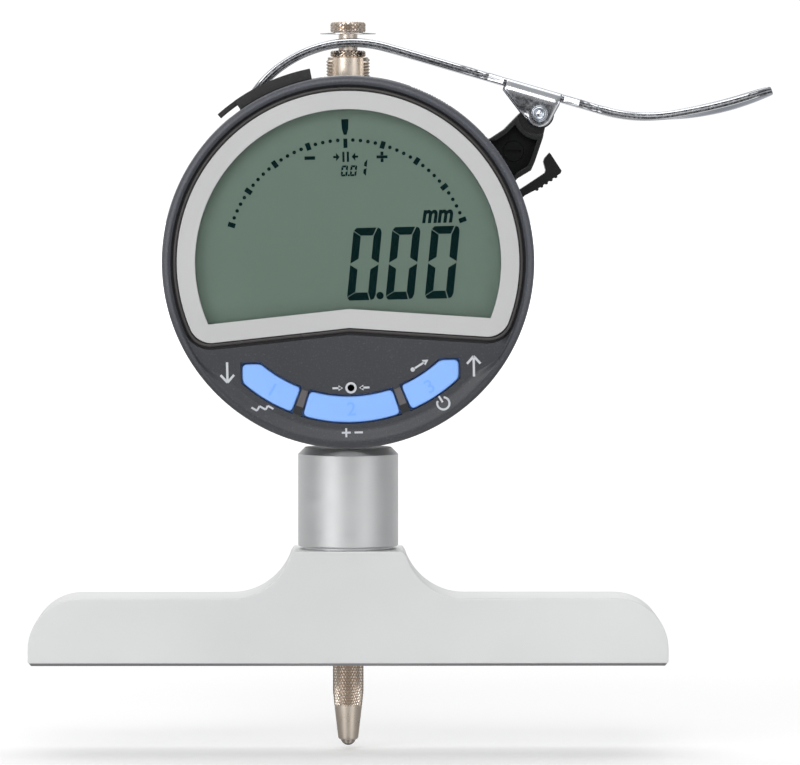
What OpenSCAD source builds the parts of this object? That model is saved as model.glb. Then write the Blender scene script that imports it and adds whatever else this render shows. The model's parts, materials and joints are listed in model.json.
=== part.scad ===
// Digital depth gauge: a swivelling display head on a flat reference base,
// with a sprung spindle and a thumb lever that lifts it.
// Front faces -Y, +Z is up, and the origin is the middle of the reference
// face, on the spindle axis. All sizes are millimetres.

/* [Reference base] */
// Length of the reference base
base_len = 101.6; // [90:0.1:130]
// Depth of the base from front to back
base_depth = 16; // [15:0.5:22]
// Height of the two wings
wing_h = 10.7; // [9:0.1:14]
// Height of the raised centre
boss_h = 18.2; // [16:0.1:24]
// Half width of the raised centre at its top
boss_half = 8.95; // [8.5:0.05:12]
// Radius of the hollow blend from wing to centre
fillet_r = 10; // [8:0.1:12]
// Radius of the rounded outer ends
end_r = 8; // [4:0.1:8.5]
// Bevel on the lower edges
base_bevel = 0.5; // [0.2:0.1:1]
// Bore that the contact point passes
contact_hole_d = 6.2; // [5.6:0.1:7.2]

/* [Sleeve] */
// Outer diameter of the clamping sleeve
sleeve_d = 16; // [14:0.1:18]
// Height of its straight part
sleeve_len = 14.7; // [12:0.1:20]
// Bevel round its top
sleeve_bevel = 1.1; // [0.4:0.1:1.6]
// Shadow groove between sleeve and base
sleeve_gap = 0.42; // [0.2:0.02:1]
// Diameter of the spigot that is pressed into the base
spigot_d = 12; // [10.5:0.1:13]
// Depth of the spigot in the base
spigot_len = 9; // [7:0.1:10]
// Diameter of the clamped stem
stem_d = 8; // [7.6:0.1:8.4]
// Height of the stem's lower end above the reference face
stem_foot = 17; // [16.6:0.1:19]
// Diameter of the clamp screw at the back
clamp_screw_d = 4; // [3:0.5:5]

/* [Spindle] */
// Diameter of the spindle
spindle_d = 4.8; // [4.6:0.1:5]
// Length of the lifting stroke
stroke = 13.5; // [12:0.1:13.6]
// How far the contact stands below the reference face at rest
reach = 13.3; // [12.5:0.1:14]
// Diameter of the knurled contact point
contact_d = 4.9; // [4.5:0.1:5.2]
// Height of the knurled part above the reference face
contact_rise = 3; // [1:0.1:3.3]
// Length of the contact's cone
cone_len = 5.5; // [4:0.1:7]
// Small end of the cone
cone_tip_d = 3.2; // [2.8:0.1:4]
// Diameter of the carbide ball
ball_d = 2.5; // [2:0.1:2.7]

/* [Top of the spindle] */
// Diameter of the threaded upper stem
upper_stem_d = 7; // [6.6:0.1:8]
// How far the upper stem shows above the display
stem_show = 3.2; // [2.5:0.1:6]
// Diameter of the knurled collar and cap
knob_d = 5.6; // [5.2:0.1:6.4]
// Height of the collar
collar_h = 1; // [0.8:0.1:2]
// Diameter of the neck between collar and cap
neck_d = 3; // [2:0.1:3.2]
// Height of the cap
cap_h = 1.8; // [1.2:0.1:3]
// Diameter of the thin washer under the cap
washer_d = 8.9; // [7:0.1:10]
// Thickness of the washer
washer_t = 0.16; // [0.1:0.02:0.4]

/* [Lifting lever] */
// Thickness of the stamped strip
lever_t = 1.3; // [1:0.1:1.5]
// Space between the lever and the collar below it
lever_gap = 0.6; // [0.5:0.05:0.9]
// Space between the lever and the washer above it
washer_gap = 0.7; // [0.4:0.05:1]
// Outer radius of the crown over the spindle
crown_r = 20; // [18:0.5:24]
// Distance of the crown's middle from the spindle axis
crown_x = 0.8; // [0:0.1:1.2]
// Angle that the left end of the crown reaches
crown_turn = 54; // [45:1:58]
// Slope of the straight arm
arm_slope = 16.2; // [14:0.1:18]
// Length of the straight arm
arm_len = 35.8; // [35:0.1:40]
// Radius of the bend below the thumb pad
bend_r = 24; // [20:0.5:30]
// Slope where the pad's own curve starts
pad_start = 9; // [6:0.5:12]
// Radius of the pad's long curve
pad_r = 90; // [70:1:120]
// Slope at the tip
pad_end = 19.8; // [17:0.1:22]
// Width of the thumb pad
pad_w = 12; // [10:0.5:16]
// Corner radius of the thumb pad
pad_corner = 4.5; // [2:0.5:5]
// Depth of the hollow pressed into the thumb pad
dish_depth = 0.7; // [0.3:0.1:1]
// Radius of that hollow across the pad
dish_r = 22; // [18:1:30]
// Radius of that hollow along the pad
dish_long_r = 40; // [34:1:60]
// Width of the fork over the spindle
fork_w = 9; // [8:0.1:9.2]
// Width of the slot that straddles the neck
slot_w = 3.6; // [3.4:0.1:4]
// Distance of the pivot from the spindle axis
pivot_x = 30.35; // [29:0.05:32]
// Height of the arm's top above the pivot
pivot_drop = 4.2; // [3.9:0.1:5]
// Radius of the round ears
ear_r = 2.15; // [2:0.05:2.6]
// Diameter of the pivot rivet
rivet_d = 2; // [1.6:0.1:2.2]
// Diameter of the rivet heads
rivet_head_d = 2.8; // [2.4:0.1:3.4]

// Outer radius of the bend from arm to ear
ear_bend_r = 1.9; // [1.6:0.05:2.2]
// Width of the relief cut beside each ear
ear_relief = 0.4; // [0.3:0.05:0.6]

/* [Bracket and latch] */
// Half thickness of the lever bracket
bracket_half = 3.1; // [2.6:0.1:3.4]
// Radius of the bracket's round end about the pivot
bracket_boss_r = 2.4; // [2.2:0.05:2.6]
// Half thickness of the bracket's lower part
bracket_wide = 4.2; // [3.6:0.1:4.5]
// Radius of the step that clears the lever's ears
bracket_step_r = 3.4; // [2.9:0.05:3.6]
// Width of the rim round the bracket's pocket
pocket_rim = 0.8; // [0.6:0.05:1.1]
// Depth of the bracket's pocket
pocket_depth = 1.5; // [0.8:0.1:1.6]
// Gap between bracket and lever ears
ear_gap = 0.2; // [0.1:0.05:0.4]
// Thickness of the case lug inside the bracket
lug_t = 2.4; // [2:0.1:3]
// Direction of the bracket from the display centre
bracket_angle = 33.5; // [31:0.5:36]
// Direction of the latch hinge from the display centre
latch_angle = 19.5; // [18:0.5:21]
// Half thickness of the latch
latch_half = 2; // [1.6:0.1:2.4]

/* [Display] */
// Outer radius of the bezel
bezel_r = 29.15; // [28.5:0.05:32]
// Radial width of the bezel's lip
lip_w = 1.25; // [0.8:0.05:2]
// Distance of the lip's front from the spindle axis
lip_front = 19; // [18.8:0.1:22]
// Height of the lip above the front panel
lip_rise = 0.6; // [0.4:0.1:1]
// Thickness of the front panel
panel_t = 1.8; // [1.5:0.1:2.2]
// Wall thickness of the bezel
bezel_wall = 1.9; // [1.5:0.1:2.2]
// Number of hollows in the bezel's edge
hollow_count = 13; // [6:1:18]
// Length of one hollow round the edge, in degrees
hollow_turn = 13; // [8:1:16]
// Depth of a hollow
hollow_depth = 0.45; // [0.2:0.05:0.8]
// How far the serrated grip ring stands out of the bezel
grip_rise = 0.25; // [0.1:0.05:0.5]
// How far the display is turned at rest
face_turn = 1.3; // [-5:0.1:5]
// Clear height between sleeve and bezel
display_clear = 0.63; // [0.6:0.01:2]

/* [Window] */
// Width of the groove round the trim
groove_w = 1.1; // [0.6:0.1:1.4]
// Width of the pale trim round the window
trim_w = 2.85; // [2:0.05:4]
// Height of the trim's lower tip, below the display centre
trim_tip = 10.26; // [9.5:0.02:11]
// Corner radius of the trim
trim_corner = 3.6; // [2:0.1:5]
// Height of the window's lower tip, below the display centre
window_tip = 7.3; // [6:0.1:8]
// Slope of the trim's two lower edges
chevron = 5; // [0:0.5:8]
// Thickness of the clear window
window_t = 1; // [0.8:0.1:1.1]
// Thickness of the trim
trim_t = 1.2; // [0.8:0.1:1.4]

/* [Buttons] */
// Distance of the button ring from the bezel's outside
button_margin = 4.15; // [3.5:0.05:5]
// Radial width of the buttons
button_w = 4; // [3:0.1:5]
// Half angle of the middle button
middle_turn = 17.75; // [14:0.05:19]
// Inner end of each side button, from straight down
side_near = 22.1; // [21.5:0.1:26]
// Outer end of each side button, from straight down
side_far = 49.3; // [44:0.1:52]
// Side limit of the side buttons
button_side = 16.9; // [15:0.1:19]
// Top limit of the side buttons, below the display centre
button_top = 15.6; // [15:0.1:17]
// Gap round each button
button_gap = 0.28; // [0.15:0.01:0.4]
// Travel of a button
button_travel = 0.4; // [0.2:0.05:0.4]
// Height of a button above the panel
button_rise = 0.45; // [0.3:0.05:0.8]

/* [Case] */
// How far the fixed case stands inside the bezel's outside
case_inset = 1.85; // [1:0.05:3]
// Wall of the case
case_wall = 1.8; // [1.4:0.1:2]
// Distance of the case's front from the spindle axis
case_front = 6.2; // [6:0.1:6.4]
// Distance of the rear cover's back from the spindle axis
case_back = 9.6; // [9:0.1:12]
// Thickness of the rear cover
cover_t = 1.6; // [1.2:0.1:2]
// Distance of the cover screws from the case's outside
cover_screw_in = 5.8; // [4.5:0.1:7]
// Radius of the swivel hub
hub_r = 9; // [8:0.1:9.4]
// Thickness of the display's back plate
back_t = 2; // [1.6:0.1:2.2]
// Turn either way to the stop
turn_limit = 165; // [150:1:168]

/* [Connector] */
// Middle of the connector, in degrees from the display's right
socket_angle = 111.9; // [108:0.1:116]
// Angle that the rubber cover spans
plug_turn = 24; // [20:0.5:28]
// How far the cover stands out of the bezel
plug_rise = 1.75; // [1:0.05:2.2]
// Half width of the connector's mouth
mouth_half = 3.8; // [3:0.1:4]

/* [Hidden] */
$fn = 96;
eps = 0.01;

fit = 0.02;         // seat clearance of pieces that don't move
running = 0.05;     // radial clearance of pieces that slide or turn
blunt = 0.012;      // how far a rounding stays off its exact tangent

// Radii that follow the bezel
grip_r = bezel_r + grip_rise;
case_r = bezel_r - case_inset;
trim_r = bezel_r - lip_w - groove_w;
window_r = trim_r - trim_w;
button_out = bezel_r - button_margin;
button_in = button_out - button_w;
cover_screw_r = case_r - cover_screw_in;

// Heights, from the reference face up
sleeve_foot = boss_h + sleeve_gap;
sleeve_shoulder = sleeve_foot + sleeve_len;
sleeve_top = sleeve_shoulder + sleeve_bevel;
dial_z = sleeve_top + display_clear + bezel_r;
stem_top = dial_z + bezel_r + stem_show;
collar_foot = stem_top + running;
collar_top = collar_foot + collar_h;
crown_z = collar_top + lever_gap + lever_t;
washer_z = crown_z + washer_gap;
cap_z = washer_z + washer_t + fit;

// Depths, measured forwards from the spindle axis
panel_front = lip_front - lip_rise;
panel_back = panel_front - panel_t;
ledge = panel_front - trim_t + 0.1;
glass_front = panel_back - 0.1;
glass_t = 1.4;
board_front = glass_front - glass_t - 1;
board_t = 1;
board_back = board_front - board_t;
back_rear = case_front + 1;
back_front = back_rear + back_t;
bezel_rear = back_front;
bezel_in = bezel_r - bezel_wall;
back_r = bezel_in + 0.7;
hub_flange = back_front + 0.05;
hub_top = hub_flange + 0.7;
cover_front = -(case_back - cover_t);
bulkhead = case_front - 1.6;

// Lever path: crown, straight arm, bend and pad
crown_cz = crown_z - crown_r;
arm_dir = [cos(arm_slope), -sin(arm_slope)];
arm_up = [sin(arm_slope), cos(arm_slope)];
arm_from = [crown_x, crown_cz] + crown_r * arm_up;
arm_to = arm_from + arm_len * arm_dir;
bend_c = arm_to + bend_r * arm_up;
pad_from = bend_c + bend_r * [sin(pad_start), -cos(pad_start)];
pad_c = pad_from + pad_r * [-sin(pad_start), cos(pad_start)];
tip_x = pad_c[0] + pad_r * sin(pad_end);
dish_turn = (pad_start + pad_end) / 2 + 0.5;
dish_c = pad_c + (pad_r + dish_depth - dish_long_r)
    * [sin(dish_turn), -cos(dish_turn)];
pivot_z = arm_from[1] - (pivot_x - arm_from[0]) * tan(arm_slope)
    - pivot_drop;
lever_half = bracket_half + ear_gap + lever_t;
pivot = [pivot_x, pivot_z];

// Distance from the middle of the bracket's lower part to its edge
bracket_half_w = 3.9;

// Where the lever's edge steps, measured along X from the pivot
ear_left = -5.1;
ear_right = 3.7;
tab_left = -7.9;
tab_right = 6.5;
neck_left = -11.3;
neck_right = 9.9;
neck_depth = 0.7;

// Spindle carriage
carrier_z = dial_z - 12.2;
carrier_h = 8;
carrier_left = -10.5;
carrier_right = 6.6;
carrier_half = 4;
scale_len = 24;
scale_t = 0.8;
scale_w = 5.5;
rail_x = 7.2;
rail_w = 3;
pin_z = carrier_z + carrier_h / 2;
spring_x = 4.9;
spring_y = 5.6;
spring_r = 1.3;
wire_r = 0.2;
anchor_z = dial_z - 22;
hook_z = carrier_z + carrier_h - 2;

function arc(c, r, from, to, n) =
    [for (i = [0 : n]) let (a = from + (to - from) * i / n)
        [c[0] + r * cos(a), c[1] + r * sin(a)]];
function backwards(p) = [for (i = [len(p) - 1 : -1 : 0]) p[i]];
// One long edge of the strip, a set depth under its top surface
function lever_edge(depth) = concat(
    arc([crown_x, crown_cz], crown_r - depth, 90 + crown_turn,
        90 - arm_slope, 24),
    arc(bend_c, bend_r + depth, -90 - arm_slope, -90 + pad_start, 10),
    [for (p = arc(pad_c, pad_r + depth, -90 + pad_start,
        -90 + pad_end, 8)) if (p[0] > pad_from[0] + 0.1) p]);
// Point where a line from p touches a circle of radius r about 0
function touch(p, r, side) =
    let (a = atan2(p[1], p[0]) + side * acos(r / norm(p)))
        [r * cos(a), r * sin(a)];
function polar(r, a) = [r * cos(a), r * sin(a)];
// Height of the arm's top surface, measured from the pivot
function arm_over(x) = pivot_drop - x * tan(arm_slope);

// A flat shape in X and Z, thick from one forward distance to another
module plate(from, to)
    rotate([90, 0, 0])
        translate([0, 0, from])
            linear_extrude(to - from)
                children();

// A profile of radius and forward distance, turned about the dial's axis
module turned()
    rotate([90, 0, 0])
        rotate_extrude()
            children();

module on_dial()
    translate([0, 0, dial_z])
        rotate([0, -face_turn, 0])
            children();

module on_case()
    translate([0, 0, dial_z])
        children();

module at_pivot()
    translate([pivot_x, 0, pivot_z])
        children();

module ring_2d(outer, inner)
    difference() {
        circle(outer);
        circle(inner);
    }

module sector_2d(outer, inner, from, to)
    intersection() {
        ring_2d(outer, inner);
        polygon(concat([[0, 0]],
            arc([0, 0], outer * 1.4, from, to, 4)));
    }

// A round face cut off below by two edges that fall away from a tip
module dee(r, tip)
    intersection() {
        circle(r);
        polygon([[-40, -tip - 40 * tan(chevron)], [0, -tip],
            [40, -tip - 40 * tan(chevron)], [40, 40], [-40, 40]]);
    }

// The same with its two lower corners rounded
module round_dee(r, tip, corner) {
    slant = sqrt(1 + pow(tan(chevron), 2));
    rise = -tip + corner * slant;
    far = r - corner;
    turn = rise * tan(chevron);
    x = (turn + sqrt(turn * turn - slant * slant * (rise * rise - far * far)))
        / (slant * slant);
    z = rise - x * tan(chevron);
    foot = [x, z] - (corner + 2) * [sin(chevron), cos(chevron)];
    rim = [x, z] * (r + 2) / far;
    difference() {
        dee(r, tip);
        for (side = [0, 1])
            mirror([side, 0])
                difference() {
                    polygon([[x, z], foot, [rim[0] + 1, foot[1] - 1], rim]);
                    translate([x, z])
                        circle(corner + blunt);
                }
    }
}

// What is cut away to round a corner; turn it to face the corner
module corner_cut(r, turn)
    rotate(turn)
        difference() {
            square(r + 1);
            circle(r + blunt);
        }

module knurl_bevel(r, h, bevel)
    rotate_extrude()
        polygon([[0, 0], [r - bevel, 0], [r, bevel], [r, h - bevel],
            [r - bevel, h], [0, h]]);

// ---- Reference base and sleeve ----

module base_profile() {
    half = base_len / 2;
    rise = min(boss_h - wing_h, fillet_r);
    reach_x = boss_half + sqrt(pow(fillet_r, 2) - pow(fillet_r - rise, 2));
    edge = 0.5;
    difference() {
        union() {
            translate([-half + end_r, 0])
                square([base_len - 2 * end_r, wing_h]);
            intersection() {
                for (side = [-1, 1])
                    translate([side * (half - end_r), wing_h - end_r])
                        circle(end_r);
                translate([-half, 0])
                    square([base_len, wing_h]);
            }
            translate([-half, 0])
                square([base_len, wing_h - end_r]);
            translate([-reach_x, 0])
                square([2 * reach_x, boss_h]);
        }
        for (side = [-1, 1])
            translate([side * reach_x, wing_h + fillet_r])
                circle(fillet_r);
        for (side = [0, 1])
            mirror([side, 0]) {
                polygon([[half + 1, -1], [half - base_bevel - 1, -1],
                    [half - base_bevel, 0], [half, base_bevel * 1.4],
                    [half + 1, base_bevel * 1.4]]);
                translate([boss_half - edge, boss_h - edge])
                    corner_cut(edge, 0);
            }
    }
}

module base()
    color([0.85, 0.85, 0.85])
        difference() {
            plate(-base_depth / 2, base_depth / 2)
                base_profile();
            for (side = [0, 1])
                mirror([0, side, 0])
                    rotate([90, 0, 90])
                        translate([0, 0, -base_len / 2 - 1])
                            linear_extrude(base_len + 2)
                                polygon([[base_depth / 2 + 1, -1],
                                    [base_depth / 2 - base_bevel - 1, -1],
                                    [base_depth / 2 - base_bevel, 0],
                                    [base_depth / 2, base_bevel],
                                    [base_depth / 2 + 1, base_bevel]]);
            translate([0, 0, -1])
                cylinder(h = boss_h + 2, d = contact_hole_d);
            translate([0, 0, boss_h - spigot_len])
                cylinder(h = spigot_len + 1, d = spigot_d);
        }

module sleeve()
    color([0.78, 0.79, 0.79])
        difference() {
            rotate_extrude() {
                r = sleeve_d / 2;
                polygon([
                    [stem_d / 2 + fit, boss_h - spigot_len + 0.2],
                    [spigot_d / 2 - fit - 0.4, boss_h - spigot_len + 0.2],
                    [spigot_d / 2 - fit, boss_h - spigot_len + 0.6],
                    [spigot_d / 2 - fit, boss_h],
                    [r - 1, boss_h],
                    [r - 1, sleeve_foot],
                    [r - 0.2, sleeve_foot],
                    [r, sleeve_foot + 0.2],
                    [r, sleeve_shoulder],
                    [r - sleeve_bevel, sleeve_top],
                    [stem_d / 2 + fit, sleeve_top]]);
            }
            translate([0, 0, clamp_z()])
                plate(-sleeve_d / 2 - 1, -1)
                    circle(d = clamp_screw_d + 2 * fit);
        }

function clamp_z() = sleeve_foot + sleeve_len / 2;

module clamp_screw()
    color([0.25, 0.25, 0.27])
        translate([0, 0, clamp_z()])
            difference() {
                plate(-sleeve_d / 2 + 0.5, -stem_d / 2 - fit)
                    circle(d = clamp_screw_d);
                plate(-sleeve_d / 2, -sleeve_d / 2 + 2.2)
                    circle(r = 1.15, $fn = 6);
            }

// ---- Fixed case and stems ----

module lower_stem()
    color([0.72, 0.73, 0.74])
        translate([0, 0, stem_foot])
            difference() {
                cylinder(h = case_foot() + 3 - stem_foot, d = stem_d);
                translate([0, 0, -1])
                    cylinder(h = 40, r = spindle_d / 2 + 0.4);
                translate([0, 0, -1])
                    cylinder(h = 1 + bush_len, r = bush_r());
            }

bush_len = 5;
function bush_r() = spindle_d / 2 + 1;
// Height of the case's inner wall under the dial, on the stem's axis
function case_foot() = dial_z - case_r + case_wall;

module lower_bush()
    color([0.78, 0.66, 0.4])
        translate([0, 0, stem_foot])
            difference() {
                cylinder(h = bush_len, r = bush_r() - fit);
                translate([0, 0, -1])
                    cylinder(h = bush_len + 2, r = spindle_d / 2 + running);
            }

module bracket_lug_2d()
    rotate(bracket_angle)
        translate([case_r - case_wall - 0.5, -2.6])
            square([lug_reach() - case_r + case_wall + 0.5, 5.2]);

function lug_reach() = case_r + 6.6;
function bracket_screw_at() = polar(case_r + 4.2, bracket_angle);
function latch_at() = polar(case_r - 0.3, latch_angle);
latch_knuckle = 1.3;

module body_case()
    color([0.2, 0.2, 0.21])
        difference() {
            on_case() {
                difference() {
                    union() {
                        plate(cover_front, case_front)
                            circle(case_r);
                        latch_lug(latch_knuckle + 0.5);
                    }
                    difference() {
                        plate(cover_front - 1, bulkhead)
                            circle(case_r - case_wall);
                        latch_lug(latch_knuckle + 1.3);
                    }
                    plate(0, case_front + 1)
                        circle(hub_r - 3);
                    plate(-latch_half - 0.15, latch_half + 0.15)
                        translate(latch_at()) {
                            circle(latch_knuckle + 0.3);
                            sector_2d(7, 0.1, -10, 76);
                        }
                    plate(-case_back, case_back)
                        translate(latch_at())
                            circle(r = 0.6 + fit);
                    for (a = [30, 150, 270])
                        plate(0, case_front + 1)
                            rotate(a)
                                translate([hub_r - 1.5, 0])
                                    circle(r = 0.7 + fit);
                }
                plate(-lug_t / 2, lug_t / 2)
                    difference() {
                        bracket_lug_2d();
                        circle(case_r - case_wall - 0.2);
                        translate(bracket_screw_at())
                            circle(r = 1 + fit);
                    }
                for (a = [45 : 90 : 315])
                    plate(cover_front, bulkhead + eps)
                        rotate(a)
                            translate([cover_screw_r, 0])
                                ring_2d(2.8, 1 + fit);
                plate(case_front - eps, back_rear - 0.15)
                    sector_2d(stop_at_r + 1.2, stop_at_r - 1.2,
                        270 - stop_half(), 270 + stop_half());
            }
            translate([0, 0, dial_z - case_r - 1])
                cylinder(h = 5, d = stem_d + 2 * fit);
            translate([0, 0, dial_z + case_r - 5])
                cylinder(h = 8, d = upper_stem_d + 2 * fit);
        }

module latch_lug(r)
    plate(-latch_half - 1.5, latch_half + 1.5)
        translate(latch_at())
            circle(r);

stop_pin_r = 0.7;
stop_at_r = hub_r + 8;
// Half width of the stop that the pin meets at either end of its turn
function stop_half() = 180 - turn_limit - asin(stop_pin_r / stop_at_r) - 0.2;

module rear_cover()
    color([0.2, 0.2, 0.21])
        on_case()
            difference() {
                union() {
                    plate(-case_back + 0.6, cover_front)
                        circle(case_r);
                    plate(-case_back, -case_back + 0.6 + eps)
                        circle(case_r - 0.6);
                }
                for (a = [45 : 90 : 315])
                    rotate([0, -a, 0])
                        translate([cover_screw_r, 0, 0]) {
                            plate(-case_back - 1, 0)
                                circle(r = 1 + fit);
                            plate(-case_back - 1, -case_back + 0.9)
                                circle(r = 2.1);
                        }
            }

module cover_screws()
    color([0.75, 0.75, 0.76])
        on_case()
            for (a = [45 : 90 : 315])
                rotate([0, -a, 0])
                    translate([cover_screw_r, 0, 0])
                        difference() {
                            union() {
                                plate(-case_back + 0.1, -case_back + 0.9)
                                    circle(r = 1.9);
                                plate(-case_back + 0.8, 2)
                                    circle(r = 1);
                            }
                            cross_slot(-case_back, 0.7, 1.1);
                        }

// A cross recess cut to a depth from the rear side
module cross_slot(from, depth, half)
    plate(from, from + depth) {
        square([2 * half, 0.4], center = true);
        square([0.4, 2 * half], center = true);
    }

module upper_stem()
    color([0.8, 0.75, 0.66])
        difference() {
            union() {
                translate([0, 0, dial_z + case_r - 4])
                    cylinder(h = stem_top - dial_z - case_r + 4 - 0.3,
                        d = upper_stem_d);
                translate([0, 0, stem_top - 0.3 - eps])
                    cylinder(h = 0.3 + eps, d1 = upper_stem_d,
                        d2 = upper_stem_d - 0.6);
            }
            translate([0, 0, dial_z])
                cylinder(h = 60, r = spindle_d / 2 + running);
        }

module swivel_hub()
    color([0.62, 0.63, 0.65])
        on_case()
            difference() {
                turned()
                    polygon([[hub_r - 3, case_front], [hub_r, case_front],
                        [hub_r, hub_flange], [hub_r + 2, hub_flange],
                        [hub_r + 2, hub_top], [hub_r - 3, hub_top]]);
                for (a = [30, 150, 270])
                    plate(0, hub_top + 1)
                        rotate(a)
                            translate([hub_r - 1.5, 0])
                                circle(r = 0.7 + fit);
                for (a = [30, 150, 270])
                    plate(hub_top - 0.55, hub_top + 1)
                        rotate(a)
                            translate([hub_r - 1.5, 0])
                                circle(r = 1.3);
            }

module hub_screws()
    color([0.75, 0.75, 0.76])
        on_case()
            for (a = [30, 150, 270]) {
                plate(bulkhead + 0.1, hub_top - 0.5)
                    rotate(a)
                        translate([hub_r - 1.5, 0])
                            circle(r = 0.7);
                plate(hub_top - 0.55, hub_top - 0.05)
                    rotate(a)
                        translate([hub_r - 1.5, 0])
                            circle(r = 1.2);
            }

module friction_ring()
    color([0.12, 0.12, 0.12])
        on_case()
            plate(case_front, back_rear - 0.05)
                ring_2d(hub_r + 5, hub_r + 3);

module encoder_board()
    color([0.1, 0.32, 0.18])
        on_case() {
            plate(bulkhead - 0.8, bulkhead)
                translate([carrier_left - 1.4, -stroke - 1])
                    square([8, 2 * stroke + 4]);
            plate(bulkhead - 1.2, bulkhead - 0.8)
                translate([carrier_left - 0.5, -stroke / 2])
                    square([scale_w, stroke + 4]);
        }

module flex_cable()
    color([0.8, 0.5, 0.15])
        translate([0, 0, dial_z - 1.5])
            linear_extrude(3)
                polygon([[-4.5, -bulkhead], [-4.5, -case_front - 1.2],
                    [-0.1, -case_front - 1.2], [-0.1, -board_back + 0.1],
                    [0.1, -board_back + 0.1], [0.1, -case_front - 1],
                    [-4.3, -case_front - 1], [-4.3, -bulkhead]]);

// ---- Spindle, carriage and spring ----

module guide_rail()
    color([0.7, 0.7, 0.72])
        difference() {
            translate([rail_x, -bulkhead, carrier_z - 3])
                cube([rail_w, bulkhead + 2.6, carrier_h + stroke + 6]);
            translate([rail_x - 1, -1 - running, pin_z - 1.2])
                cube([rail_w + 2, 2 + 2 * running, stroke + 2.4]);
        }

module guide_pin()
    color([0.8, 0.8, 0.8])
        translate([carrier_right - 3, 0, pin_z])
            rotate([0, 90, 0])
                cylinder(h = rail_x + rail_w + 0.4 - carrier_right + 3,
                    r = 1);

module spring_anchor()
    color([0.7, 0.7, 0.72])
        translate([spring_x, 0, anchor_z])
            plate(-spring_y - 1, bulkhead)
                circle(r = 0.8);

module spring_hook()
    color([0.7, 0.7, 0.72])
        translate([spring_x, 0, hook_z])
            plate(-spring_y - 1, -carrier_half)
                circle(r = 0.8);

// Tension spring wound between the two posts
spring_turns = 12;
spring_sides = 6;
spring_steps = 10;

module return_spring() {
    low = anchor_z + 0.8 + wire_r;
    high = hook_z - 0.8 - wire_r;
    rings = spring_turns * spring_steps;
    points = [for (i = [0 : rings]) let (a = 360 * i / spring_steps)
        for (j = [0 : spring_sides - 1])
            let (b = 360 * j / spring_sides, r = spring_r + wire_r * cos(b))
                [r * cos(a), r * sin(a), low + (high - low) * i / rings
                    + wire_r * sin(b)]];
    sides = [for (i = [0 : rings - 1]) for (j = [0 : spring_sides - 1])
        let (k = (j + 1) % spring_sides, p = i * spring_sides,
            q = p + spring_sides)
            [p + j, p + k, q + k, q + j]];
    ends = [[for (j = [spring_sides - 1 : -1 : 0]) j],
        [for (j = [0 : spring_sides - 1]) rings * spring_sides + j]];
    color([0.75, 0.75, 0.77])
        translate([spring_x, spring_y, 0])
            polyhedron(points, concat(sides, ends));
}

module spindle()
    color([0.8, 0.8, 0.8]) {
        translate([0, 0, contact_rise])
            cylinder(h = collar_top - contact_rise, d = spindle_d);
        translate([0, 0, collar_top - eps])
            cylinder(h = cap_z + 1 - collar_top, d = neck_d);
    }

cone_top = -reach + ball_d / 2 - 0.35 + cone_len;

module contact_point()
    color([0.8, 0.76, 0.68])
        rotate_extrude()
            polygon([[0, contact_rise], [contact_d / 2 - 0.3, contact_rise],
                [contact_d / 2, contact_rise - 0.3],
                [contact_d / 2, cone_top],
                [cone_tip_d / 2 + 0.1, cone_top - cone_len + 0.5],
                [cone_tip_d / 2 - 0.1, cone_top - cone_len + 0.15],
                [cone_tip_d / 2 - 0.4, cone_top - cone_len],
                [ball_seat(), cone_top - cone_len],
                [0, cone_top - cone_len + ball_seat()]]);

function ball_seat() = sqrt(pow(ball_d / 2, 2) - pow(0.35, 2)) + 0.01;

module contact_ball()
    color([0.35, 0.36, 0.38])
        intersection() {
            translate([0, 0, -reach + ball_d / 2])
                sphere(d = ball_d);
            translate([0, 0, -reach - 1])
                cylinder(h = 1 + reach + cone_top - cone_len, r = 3);
        }

module scale_carrier()
    color([0.7, 0.7, 0.72])
        difference() {
            translate([carrier_left, -2, carrier_z])
                cube([carrier_right - carrier_left, carrier_half + 2,
                    carrier_h]);
            translate([0, -3, carrier_z - 1])
                cylinder(h = carrier_h + 2, r = spindle_d / 2 + fit);
            translate([0, 0, carrier_z - 1])
                cylinder(h = carrier_h + 2, r = spindle_d / 2 + fit);
            translate([carrier_right - 3 - fit, 0, pin_z])
                rotate([0, 90, 0])
                    cylinder(h = 5, r = 1 + fit);
            translate([-spindle_d / 2 - fit, -3, carrier_z - 1])
                cube([spindle_d + 2 * fit, 3, carrier_h + 2]);
        }

module scale_strip()
    color([0.75, 0.8, 0.82])
        translate([carrier_left, -2 - scale_t, carrier_z - 8])
            cube([scale_w, scale_t, scale_len]);

module lift_collar()
    color([0.78, 0.72, 0.62])
        translate([0, 0, collar_foot])
            difference() {
                knurl_bevel(knob_d / 2, collar_h, 0.15);
                translate([0, 0, -1])
                    cylinder(h = collar_h + 2, r = spindle_d / 2 + fit);
            }

module lift_washer()
    color([0.55, 0.55, 0.57])
        translate([0, 0, washer_z])
            difference() {
                cylinder(h = washer_t, d = washer_d);
                translate([0, 0, -1])
                    cylinder(h = 2, r = neck_d / 2 + fit);
            }

module lift_cap()
    color([0.78, 0.72, 0.62])
        translate([0, 0, cap_z])
            difference() {
                knurl_bevel(knob_d / 2, cap_h, 0.3);
                translate([0, 0, -1])
                    cylinder(h = 2 + fit, r = neck_d / 2 + fit);
            }

// ---- Lifting lever, bracket and latch ----

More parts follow.
